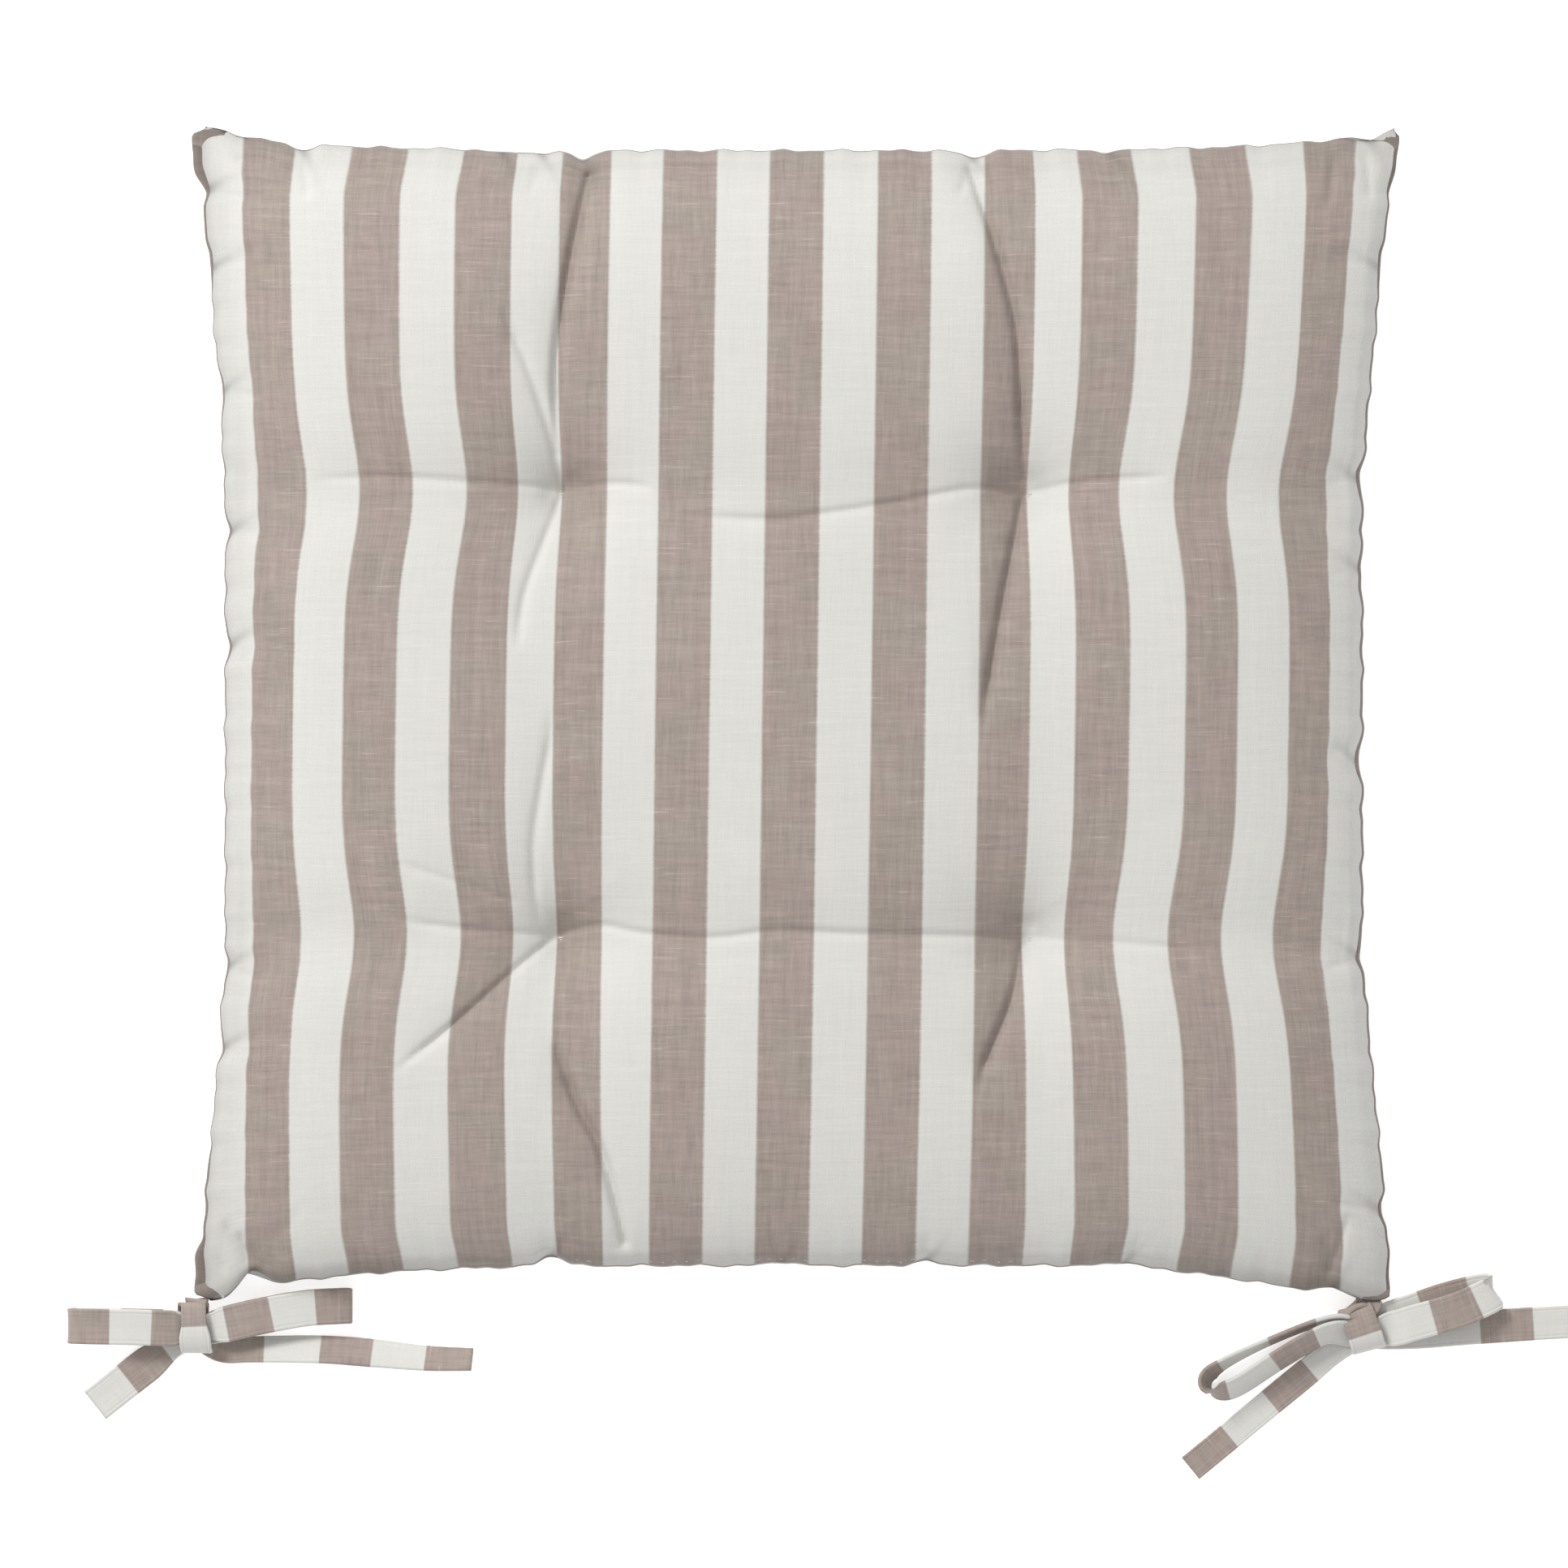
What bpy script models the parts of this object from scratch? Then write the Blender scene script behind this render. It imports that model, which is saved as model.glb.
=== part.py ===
"""Chair seat pad: two striped cotton panels sewn edge to edge round a fibre filling, drawn together by
four thread tufts, with a pair of tie tapes knotted in a bow at each rear corner.

The pad lies on the plane z = 0. +X is to the right, +Y is the front edge and the ties are at the rear (-Y).
Lengths are written in millimetres and multiplied by MM when a mesh is made.
"""

import math

import bmesh
import bpy
from mathutils import Matrix, Vector

MM = 0.001

# Pad
CORNER_X = 198.5  # half the width, corner tip to corner tip
CORNER_Y = 194.0  # half the depth, corner tip to corner tip
SIDE_PULL = 9.0  # how far the middle of an edge draws in between its corners
PAD_HEIGHT = 44.0
SEAM_MID_HEIGHT = 18.0  # height of the seam at the middle of an edge
SEAM_CORNER_HEIGHT = 7.0  # the unfilled corner tips droop to this height
FLAT_SHARE = 0.78  # share of the underside that rests flat

# Cloth
CLOTH = 0.8  # thickness of a panel
CLEARANCE = 0.3  # gap kept between neighbouring solids
SEAM_LIFT = CLOTH + CLEARANCE / 2  # from the seam's middle to a panel's outer face

# Tufts
TUFT_X = 78.0
TUFT_Y = 74.0
TUFT_TOP_DEPTH = 19.0
TUFT_BOTTOM_DEPTH = 6.0
TUFT_FLAT_RADIUS = 6.0  # the dimple's floor
TUFT_TOP_SPREAD = 20.0
TUFT_BOTTOM_SPREAD = 14.0
THREAD_RADIUS = 0.8
NEEDLE_HOLE_RADIUS = 1.2

# Filling and seams
FILLING_GAP = 1.5  # from a panel's outer face to the filling
SEAM_THREAD_RADIUS = 0.4
SEAM_THREAD_SHARE = 0.975  # place of the seam thread, as a share of the half width
OPENING_HALF = 75.0  # half the length of the hand-closed opening in the rear edge
STITCH_GAP = 1.5  # between the seam thread's ends and the closing stitch
SEAM_STEP = 0.11  # spacing of the seam thread's points, as a share of the half width

# Grid lines over half a panel, as shares of the half width: closer at the tufts and towards the edge
PANEL_LINES = (0.12, 0.26, 0.372, 0.414, 0.53, 0.66, 0.78, 0.87, 0.94, 0.98, 1.0)
FILLING_LINES = PANEL_LINES[:-2]

# Tie tapes
TAPE_WIDTH = 12.0
TAPE_THICKNESS = 1.2
KNOT_SIZE = (15.0, 11.5, 8.6)
KNOT_BEVEL = 2.4
LEFT_KNOT = (-201.0, -206.0, 4.7)
RIGHT_KNOT = (190.0, -206.0, 4.7)

# Each stretch of tape is a list of (x, y, z, side azimuth, side tilt): the middle of the tape, then the
# direction of its width in degrees round Z and above the horizontal. z is the height above the plane.
LEFT_STEM = [
    (-200.2, -195.6, 7.0, 0.0, 0.0),
    (-200.2, -197.6, 6.4, 0.0, 0.0),
    (-200.2, -199.6, 5.6, 0.0, 0.0),
]
LEFT_OUTER_LOOP = [
    (-209.4, -205.5, 6.4, 90.0, 0.0),
    (-222.0, -205.0, 7.4, 90.0, 0.0),
    (-235.0, -204.8, 7.2, 90.0, 0.0),
    (-241.6, -204.7, 6.4, 90.0, 0.0),
    (-243.8, -204.7, 4.8, 90.0, 0.0),
    (-241.6, -204.7, 3.0, 90.0, 0.0),
    (-235.0, -204.8, 2.4, 90.0, 0.0),
    (-222.0, -205.0, 2.4, 90.0, 0.0),
    (-209.4, -205.5, 2.9, 90.0, 0.0),
]
LEFT_INNER_LOOP = [
    (-191.6, -204.2, 6.4, 99.0, 0.0),
    (-180.0, -201.5, 7.6, 99.0, 0.0),
    (-165.0, -198.8, 7.4, 94.0, 0.0),
    (-152.6, -198.0, 6.4, 90.0, 0.0),
    (-149.4, -198.0, 4.8, 90.0, 0.0),
    (-152.6, -198.0, 3.0, 90.0, 0.0),
    (-165.0, -198.8, 2.4, 94.0, 0.0),
    (-180.0, -201.5, 2.4, 99.0, 0.0),
    (-191.6, -204.2, 2.9, 99.0, 0.0),
]
LEFT_OUTER_TAIL = [
    (-210.6, -212.2, 1.0, 127.0, 0.0),
    (-218.0, -217.8, 0.9, 126.0, 0.0),
    (-227.0, -224.8, 0.9, 126.0, 0.0),
    (-235.6, -231.6, 0.9, 125.0, 0.0),
]
LEFT_INNER_TAIL = [
    (-192.9, -212.8, 1.0, 270.0, 0.0),
    (-184.0, -212.8, 1.6, 270.0, 8.0),
    (-175.0, -212.6, 3.0, 268.0, 22.0),
    (-158.0, -212.6, 4.5, 266.0, 38.0),
    (-141.0, -213.8, 4.9, 264.0, 44.0),
    (-124.0, -215.4, 5.4, 266.0, 52.0),
    (-108.6, -215.8, 5.8, 270.0, 58.0),
]
RIGHT_STEM = [
    (192.4, -195.6, 7.0, 0.0, 0.0),
    (192.4, -197.6, 6.4, 0.0, 0.0),
    (192.4, -199.6, 5.6, 0.0, 0.0),
]
RIGHT_INNER_LOOP = [
    (180.8, -202.6, 6.6, 100.0, 70.0),
    (173.0, -204.0, 6.8, 108.0, 76.0),
    (157.5, -210.2, 6.8, 114.0, 76.0),
    (144.0, -216.8, 6.6, 122.0, 70.0),
    (138.2, -221.4, 6.4, 140.0, 60.0),
    (138.8, -225.8, 6.0, 150.0, 52.0),
    (143.6, -226.6, 5.9, 132.0, 52.0),
    (150.0, -224.0, 6.2, 126.0, 54.0),
    (162.0, -216.0, 7.2, 124.0, 54.0),
    (174.0, -209.0, 7.6, 118.0, 54.0),
    (180.6, -206.8, 7.2, 104.0, 50.0),
]
RIGHT_OUTER_LOOP = [
    (200.2, -205.6, 6.4, 90.0, 0.0),
    (207.0, -203.6, 7.8, 98.0, 0.0),
    (221.5, -199.4, 8.2, 108.0, 0.0),
    (230.0, -195.8, 7.2, 116.0, 0.0),
    (234.2, -193.6, 5.4, 118.0, 0.0),
    (231.4, -193.0, 3.5, 116.0, 0.0),
    (219.0, -196.0, 2.6, 110.0, 0.0),
    (206.0, -200.4, 2.6, 104.0, 0.0),
    (198.6, -203.0, 2.9, 96.0, 0.0),
]
RIGHT_INNER_TAIL = [
    (180.4, -213.6, 0.9, 130.0, 0.0),
    (171.0, -221.2, 0.8, 130.0, 0.0),
    (158.5, -231.4, 0.8, 130.0, 0.0),
    (145.0, -242.6, 0.8, 130.0, 0.0),
    (132.6, -252.8, 0.8, 130.0, 0.0),
]
RIGHT_OUTER_TAIL = [
    (198.4, -208.4, 1.0, 84.0, 0.0),
    (210.0, -207.0, 0.9, 84.0, 0.0),
    (225.0, -205.8, 0.9, 86.0, 0.0),
    (242.0, -204.6, 0.9, 86.0, 0.0),
    (262.0, -203.4, 0.9, 87.0, 0.0),
    (280.0, -202.8, 0.9, 88.0, 0.0),
]
TIE_HINGE_Y = -196.0
TIE_HINGE_Z = 7.0


def clear_scene():
    for old in list(bpy.data.objects):
        bpy.data.objects.remove(old, do_unlink=True)


def principled(name, colour, roughness):
    """A plain non-metallic material; colour is linear red, green and blue."""
    material = bpy.data.materials.new(name)
    material.use_nodes = True
    shader = material.node_tree.nodes["Principled BSDF"]
    shader.inputs["Base Color"].default_value = (*colour, 1.0)
    shader.inputs["Roughness"].default_value = roughness
    shader.inputs["Metallic"].default_value = 0.0
    return material


def add_object(name, bm, material, smooth=True):
    """Makes an object from a bmesh whose coordinates are in millimetres."""
    bmesh.ops.scale(bm, vec=(MM, MM, MM), verts=bm.verts)
    mesh = bpy.data.meshes.new(name)
    bm.to_mesh(mesh)
    bm.free()
    if smooth:
        mesh.shade_smooth()
        mesh.set_sharp_from_angle(angle=math.radians(50))
    mesh.materials.append(material)
    obj = bpy.data.objects.new(name, mesh)
    bpy.context.scene.collection.objects.link(obj)
    return obj


# ---------------------------------------------------------------- the pad's shape


def plan_point(u, v):
    """Plan position of the point at shares u and v of the half width and half depth."""
    x = u * (CORNER_X - SIDE_PULL * (1 - v**4) * abs(u) ** 3)
    y = v * (CORNER_Y - SIDE_PULL * (1 - u**4) * abs(v) ** 3)
    return x, y


def seam_height(u, v):
    return SEAM_MID_HEIGHT - (SEAM_MID_HEIGHT - SEAM_CORNER_HEIGHT) * (u * v) ** 4


def crown(t):
    """1 at the middle, falling steeply to 0 at the seam."""
    return (1 - min(1.0, abs(t)) ** 3.2) ** 0.6


def rest_share(t):
    """1 over the flat underside, falling to 0 at the seam along a quarter of an ellipse."""
    past_flat = max(0.0, (min(1.0, abs(t)) - FLAT_SHARE) / (1 - FLAT_SHARE))
    return math.sqrt(1 - past_flat**2)


def dimple(x, y, depth, spread):
    """Depth of the nearest tuft's dimple at a plan position."""
    distance = math.hypot(abs(x) - TUFT_X, abs(y) - TUFT_Y)
    past_floor = max(0.0, distance - TUFT_FLAT_RADIUS)
    return depth * math.exp(-past_floor / spread)


def top_height(u, v):
    x, y = plan_point(u, v)
    base = seam_height(u, v) + SEAM_LIFT
    share = crown(u) * crown(v)
    return base + (PAD_HEIGHT - base) * share - dimple(x, y, TUFT_TOP_DEPTH, TUFT_TOP_SPREAD) * share


def bottom_height(u, v):
    x, y = plan_point(u, v)
    rise = (seam_height(u, v) - SEAM_LIFT) * (1 - rest_share(u) * rest_share(v))
    lift = dimple(x, y, TUFT_BOTTOM_DEPTH, TUFT_BOTTOM_SPREAD)
    # Beyond a few spreads the underside is truly flat.
    return rise + (lift if lift > 0.05 * TUFT_BOTTOM_DEPTH else 0.0)


def mirrored(lines):
    return [-t for t in reversed(lines)] + list(lines)


def grid(bm, lines, height, shift):
    """Adds a grid of points at the given lines and height, moved by shift in Z. Returns its rows."""
    shares = mirrored(lines)
    rows = []
    for v in shares:
        row = []
        for u in shares:
            x, y = plan_point(u, v)
            row.append(bm.verts.new((x, y, height(u, v) + shift)))
        rows.append(row)
    return rows


def skin(bm, rows, upward):
    """Faces over a grid's rows."""
    for lower, upper in zip(rows, rows[1:]):
        for i in range(len(lower) - 1):
            corners = [lower[i], lower[i + 1], upper[i + 1], upper[i]]
            bm.faces.new(corners if upward else corners[::-1])


def rim(rows):
    """The grid's outer points in order, anticlockwise from above."""
    front_to_back = range(1, len(rows))
    right = [rows[i][-1] for i in front_to_back]
    left = [rows[i][0] for i in reversed(front_to_back)]
    return rows[0] + right + rows[-1][-2::-1] + left[1:]


def needle_holes(obj):
    """Opens the four holes that the tuft threads pass through."""
    for sign_x in (-1, 1):
        for sign_y in (-1, 1):
            bm = bmesh.new()
            bmesh.ops.create_cone(
                bm, segments=10, radius1=NEEDLE_HOLE_RADIUS, radius2=NEEDLE_HOLE_RADIUS,
                depth=3 * PAD_HEIGHT, cap_ends=True,
            )
            bmesh.ops.translate(bm, verts=bm.verts, vec=(sign_x * TUFT_X, sign_y * TUFT_Y, 0))
            cutter = add_object(obj.name + "_needle", bm, obj.data.materials[0], smooth=False)
            cutter.hide_render = True
            cutter.display_type = "WIRE"
            cut = obj.modifiers.new("needle_hole", "BOOLEAN")
            cut.operation = "DIFFERENCE"
            cut.object = cutter


def panel(name, height, upward, material):
    """One sheet of cloth, its thickness laid inwards from its outer face."""
    bm = bmesh.new()
    skin(bm, grid(bm, PANEL_LINES, height, 0.0), upward)
    obj = add_object(name, bm, material)
    cloth = obj.modifiers.new("cloth", "SOLIDIFY")
    cloth.thickness = CLOTH * MM
    cloth.offset = -1.0
    needle_holes(obj)


def filling(material):
    bm = bmesh.new()
    upper = grid(bm, FILLING_LINES, top_height, -FILLING_GAP)
    lower = grid(bm, FILLING_LINES, bottom_height, FILLING_GAP)
    skin(bm, upper, True)
    skin(bm, lower, False)
    top_rim = rim(upper)
    low_rim = rim(lower)
    for i in range(len(top_rim)):
        j = (i + 1) % len(top_rim)
        bm.faces.new((low_rim[i], low_rim[j], top_rim[j], top_rim[i]))
    needle_holes(add_object("fibre_filling", bm, material))


# ---------------------------------------------------------------- threads


def seam_point(u, v):
    x, y = plan_point(u, v)
    return x, y, seam_height(u, v)


def thread(name, points, radius, material):
    """A round thread along a list of points."""
    curve = bpy.data.curves.new(name, "CURVE")
    curve.dimensions = "3D"
    curve.bevel_depth = radius * MM
    curve.bevel_resolution = 1
    curve.use_fill_caps = True
    spline = curve.splines.new("POLY")
    spline.points.add(len(points) - 1)
    for place, (x, y, z) in zip(spline.points, points):
        place.co = (x * MM, y * MM, z * MM, 1.0)
    curve.materials.append(material)
    obj = bpy.data.objects.new(name, curve)
    bpy.context.scene.collection.objects.link(obj)


def shares_between(start, end):
    """Evenly spaced shares from start to end, about SEAM_STEP apart."""
    steps = max(1, round(abs(end - start) / SEAM_STEP))
    return [start + (end - start) * i / steps for i in range(steps + 1)]


def seam_threads(material):
    """The machine seam runs round all four edges and leaves the opening, which the closing stitch shuts."""
    s = SEAM_THREAD_SHARE
    opening = OPENING_HALF / CORNER_X
    gap = STITCH_GAP / CORNER_X
    points = [seam_point(u, -s) for u in shares_between(opening + gap, s)]
    points += [seam_point(s, v) for v in shares_between(-s, s)[1:]]
    points += [seam_point(u, s) for u in shares_between(s, -s)[1:]]
    points += [seam_point(-s, v) for v in shares_between(s, -s)[1:]]
    points += [seam_point(u, -s) for u in shares_between(-s, -opening - gap)[1:]]
    thread("seam_thread", points, SEAM_THREAD_RADIUS, material)
    stitch = [seam_point(u, -s) for u in shares_between(-opening, opening)]
    thread("closing_stitch", stitch, SEAM_THREAD_RADIUS, material)


def tuft_thread(name, x, y, material):
    """One tuft: a stitch on top, the thread through the pad, and the knot underneath."""
    top = PAD_HEIGHT - TUFT_TOP_DEPTH + 0.6
    under = TUFT_BOTTOM_DEPTH - CLEARANCE - 0.2
    profile = [
        (0.0, under - 3.4), (1.5, under - 2.8), (2.1, under - 1.7), (1.5, under - 0.5), (THREAD_RADIUS, under),
        (THREAD_RADIUS, top), (2.2, top + 0.2), (2.2, top + 0.9), (1.4, top + 1.5), (0.0, top + 1.7),
    ]
    bm = bmesh.new()
    points = [bm.verts.new((r, 0.0, z)) for r, z in profile]
    edges = [bm.edges.new(pair) for pair in zip(points, points[1:])]
    bmesh.ops.spin(
        bm, geom=points + edges, cent=(0, 0, 0), axis=(0, 0, 1), angle=2 * math.pi, steps=10, use_merge=True
    )
    bmesh.ops.remove_doubles(bm, verts=bm.verts, dist=0.01)
    bmesh.ops.recalc_face_normals(bm, faces=bm.faces)
    obj = add_object(name, bm, material)
    obj.location = (x * MM, y * MM, 0.0)


# ---------------------------------------------------------------- ties


def side_vector(azimuth, tilt, along):
    """The tape's width direction, made square to the way the tape runs."""
    azimuth = math.radians(azimuth)
    tilt = math.radians(tilt)
    side = Vector((math.cos(azimuth) * math.cos(tilt), math.sin(azimuth) * math.cos(tilt), math.sin(tilt)))
    return (side - along * side.dot(along)).normalized()


def tape(name, route, parent, material):
    """A flat tape with a rectangular section that follows a route."""
    middles = [Vector(stop[:3]) for stop in route]
    bm = bmesh.new()
    rings = []
    for i, (x, y, z, azimuth, tilt) in enumerate(route):
        along = (middles[min(i + 1, len(route) - 1)] - middles[max(i - 1, 0)]).normalized()
        side = side_vector(azimuth, tilt, along) * TAPE_WIDTH / 2
        face = along.cross(side).normalized() * TAPE_THICKNESS / 2
        middle = middles[i]
        corners = (middle - side - face, middle + side - face, middle + side + face, middle - side + face)
        rings.append([bm.verts.new(corner) for corner in corners])
    for first, second in zip(rings, rings[1:]):
        for i in range(4):
            j = (i + 1) % 4
            bm.faces.new((first[i], first[j], second[j], second[i]))
    bm.faces.new(rings[0])
    bm.faces.new(rings[-1])
    bmesh.ops.recalc_face_normals(bm, faces=bm.faces)
    hang(add_object(name, bm, material, smooth=False), parent)


def knot(name, centre, parent, material):
    """The bow's knot, a soft-cornered block in which the tapes cross."""
    bm = bmesh.new()
    bmesh.ops.create_cube(bm, size=1.0)
    bmesh.ops.scale(bm, vec=KNOT_SIZE, verts=bm.verts)
    bmesh.ops.bevel(
        bm, geom=list(bm.edges), offset=KNOT_BEVEL, segments=3, profile=0.5, affect="EDGES", clamp_overlap=True
    )
    bmesh.ops.translate(bm, verts=bm.verts, vec=centre)
    hang(add_object(name, bm, material), parent)


def tie_hinge(name, x):
    """An empty on the line where the tie bends at the seam."""
    hinge = bpy.data.objects.new(name, None)
    hinge.location = (x * MM, TIE_HINGE_Y * MM, TIE_HINGE_Z * MM)
    bpy.context.scene.collection.objects.link(hinge)
    return hinge


def hang(obj, hinge):
    """Parents an object that is already in place to its hinge."""
    obj.parent = hinge
    obj.matrix_parent_inverse = Matrix.Translation(hinge.location).inverted()


def ties(material):
    left = tie_hinge("left_tie_hinge", LEFT_STEM[0][0])
    tape("left_tie_stem", LEFT_STEM, left, material)
    tape("left_tie_outer_loop", LEFT_OUTER_LOOP, left, material)
    tape("left_tie_inner_loop", LEFT_INNER_LOOP, left, material)
    tape("left_tie_outer_tail", LEFT_OUTER_TAIL, left, material)
    tape("left_tie_inner_tail", LEFT_INNER_TAIL, left, material)
    knot("left_tie_knot", LEFT_KNOT, left, material)
    right = tie_hinge("right_tie_hinge", RIGHT_STEM[0][0])
    tape("right_tie_stem", RIGHT_STEM, right, material)
    tape("right_tie_outer_loop", RIGHT_OUTER_LOOP, right, material)
    tape("right_tie_inner_loop", RIGHT_INNER_LOOP, right, material)
    tape("right_tie_outer_tail", RIGHT_OUTER_TAIL, right, material)
    tape("right_tie_inner_tail", RIGHT_INNER_TAIL, right, material)
    knot("right_tie_knot", RIGHT_KNOT, right, material)


def build():
    clear_scene()
    top_cloth = principled("top_cloth", (0.60, 0.56, 0.52), 0.92)
    bottom_cloth = principled("bottom_cloth", (0.56, 0.52, 0.48), 0.92)
    tape_cloth = principled("tape_cloth", (0.52, 0.46, 0.42), 0.92)
    fibre = principled("fibre", (0.85, 0.85, 0.83), 0.95)
    cotton_thread = principled("cotton_thread", (0.66, 0.63, 0.58), 0.85)
    panel("top_panel", top_height, True, top_cloth)
    panel("bottom_panel", bottom_height, False, bottom_cloth)
    filling(fibre)
    seam_threads(cotton_thread)
    for depth_word, sign_y in (("front", 1), ("rear", -1)):
        for side_word, sign_x in (("left", -1), ("right", 1)):
            name = f"tuft_thread_{depth_word}_{side_word}"
            tuft_thread(name, sign_x * TUFT_X, sign_y * TUFT_Y, cotton_thread)
    ties(tape_cloth)


build()
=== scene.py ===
import math

import bpy
import numpy as np
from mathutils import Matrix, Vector


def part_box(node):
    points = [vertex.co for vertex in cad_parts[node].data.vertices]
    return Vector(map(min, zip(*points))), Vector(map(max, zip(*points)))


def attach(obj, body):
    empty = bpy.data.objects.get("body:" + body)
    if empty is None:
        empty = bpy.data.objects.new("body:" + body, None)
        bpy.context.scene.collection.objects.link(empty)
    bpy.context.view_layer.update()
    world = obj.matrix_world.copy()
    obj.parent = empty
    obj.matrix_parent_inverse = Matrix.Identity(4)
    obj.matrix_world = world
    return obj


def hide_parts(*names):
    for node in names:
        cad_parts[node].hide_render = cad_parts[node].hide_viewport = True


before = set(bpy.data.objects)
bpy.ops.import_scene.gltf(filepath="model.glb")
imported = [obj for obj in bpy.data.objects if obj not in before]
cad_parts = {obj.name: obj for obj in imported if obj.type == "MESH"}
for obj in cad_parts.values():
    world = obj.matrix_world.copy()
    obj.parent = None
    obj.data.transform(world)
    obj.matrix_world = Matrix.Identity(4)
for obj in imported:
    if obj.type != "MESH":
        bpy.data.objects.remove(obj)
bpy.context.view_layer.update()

MM = 0.001

# ------------------------ driving values, in metres

PAD_LOW, PAD_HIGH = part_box("top_panel")
HALF_X = PAD_HIGH.x  # to the corner tips
HALF_Y = PAD_HIGH.y
CLOTH_CELLS = 100  # cells along each side of a panel while it is blown up
REFINEMENTS = 2  # each halves the cells afterwards
CLOTH_FRAMES = 30
CLOTH_PRESSURE = 3.0
CUT_X = 0.4075  # sewn size of the two panels between their corners
CUT_Y = 0.3985
# How far the middle of each edge draws in between its corners.
LEFT_PULL = 0.0080
RIGHT_PULL = 0.0098
FRONT_PULL = 0.0052
REAR_PULL = 0.0105
SEAM_MID_HEIGHT = 0.018
SEAM_CORNER_HEIGHT = 0.0055
TUFT_PINCH = 0.0042  # radius of cloth that a tuft holds
TUFT_TOP = 0.0090  # height of a tuft's upper stitch above the seam's level
TUFT_UNDER = -0.0125  # and of its lower one

STRIPE_PITCH = 0.0356
STRIPE_CENTRE = -0.0012
STRIPE_SHARE = 0.504  # of the pitch that is brown

TAPE_WIDTH = 0.012
KNOT_WIDTH = 0.0090  # of a tape where the knot squeezes it
TAPE_THICKNESS = 0.0013
THREAD_RADIUS = 0.00035


def lerp(a, b, t):
    return a + (b - a) * t


def smooth_step(low, high, x):
    t = np.clip((x - low) / (high - low), 0.0, 1.0)
    return t * t * (3 - 2 * t)


def bell(t):
    """1 at 0, falling away on both sides."""
    return np.exp(-(t**2))


# ------------------------ camera, lights and floor

VIEW_CENTRE = Vector((-0.0040, -0.0228, 0.0))
VIEW_WIDTH = 0.524
LENS = 200.0
SENSOR = 36.0
FLOOR_REACH = 60.0


def make_camera():
    data = bpy.data.cameras.new("camera")
    data.lens = LENS
    data.sensor_width = SENSOR
    data.dof.use_dof = False
    camera = bpy.data.objects.new("camera", data)
    bpy.context.scene.collection.objects.link(camera)
    camera.location = VIEW_CENTRE + Vector((0, 0, VIEW_WIDTH * LENS / SENSOR + SEAM_MID_HEIGHT))
    bpy.context.scene.camera = camera


def area_light(name, location, size, power):
    """A square light aimed at the pad's middle."""
    data = bpy.data.lights.new(name, "AREA")
    data.shape = "SQUARE"
    data.size = size
    data.energy = power
    light = bpy.data.objects.new(name, data)
    bpy.context.scene.collection.objects.link(light)
    light.location = location
    light.rotation_mode = "QUATERNION"
    light.rotation_quaternion = (-Vector(location)).to_track_quat("-Z", "Y")


def make_floor():
    mesh = bpy.data.meshes.new("floor")
    corners = [(-1, -1), (1, -1), (1, 1), (-1, 1)]
    mesh.from_pydata([(x * FLOOR_REACH, y * FLOOR_REACH, 0) for x, y in corners], [], [(0, 1, 2, 3)])
    floor = bpy.data.objects.new("floor", mesh)
    bpy.context.scene.collection.objects.link(floor)
    material = bpy.data.materials.new("floor")
    material.use_nodes = True
    shader = material.node_tree.nodes["Principled BSDF"]
    shader.inputs["Base Color"].default_value = (0.96, 0.96, 0.96, 1)
    shader.inputs["Roughness"].default_value = 0.9
    shader.inputs["Specular IOR Level"].default_value = 0.0
    shader.inputs["Emission Color"].default_value = (1, 1, 1, 1)
    shader.inputs["Emission Strength"].default_value = 0.50
    mesh.materials.append(material)


def make_studio():
    world = bpy.data.worlds.new("studio")
    world.use_nodes = True
    background = world.node_tree.nodes["Background"]
    background.inputs["Color"].default_value = (1.0, 1.0, 1.0, 1.0)
    background.inputs["Strength"].default_value = 0.62
    bpy.context.scene.world = world
    bpy.context.scene.view_settings.view_transform = "Standard"
    area_light("key", (-1.7, 2.0, 2.3), 1.0, 88.0)
    area_light("fill", (0.1, -0.9, 1.6), 1.4, 3.0)
    make_floor()


# ------------------------ materials


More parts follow.
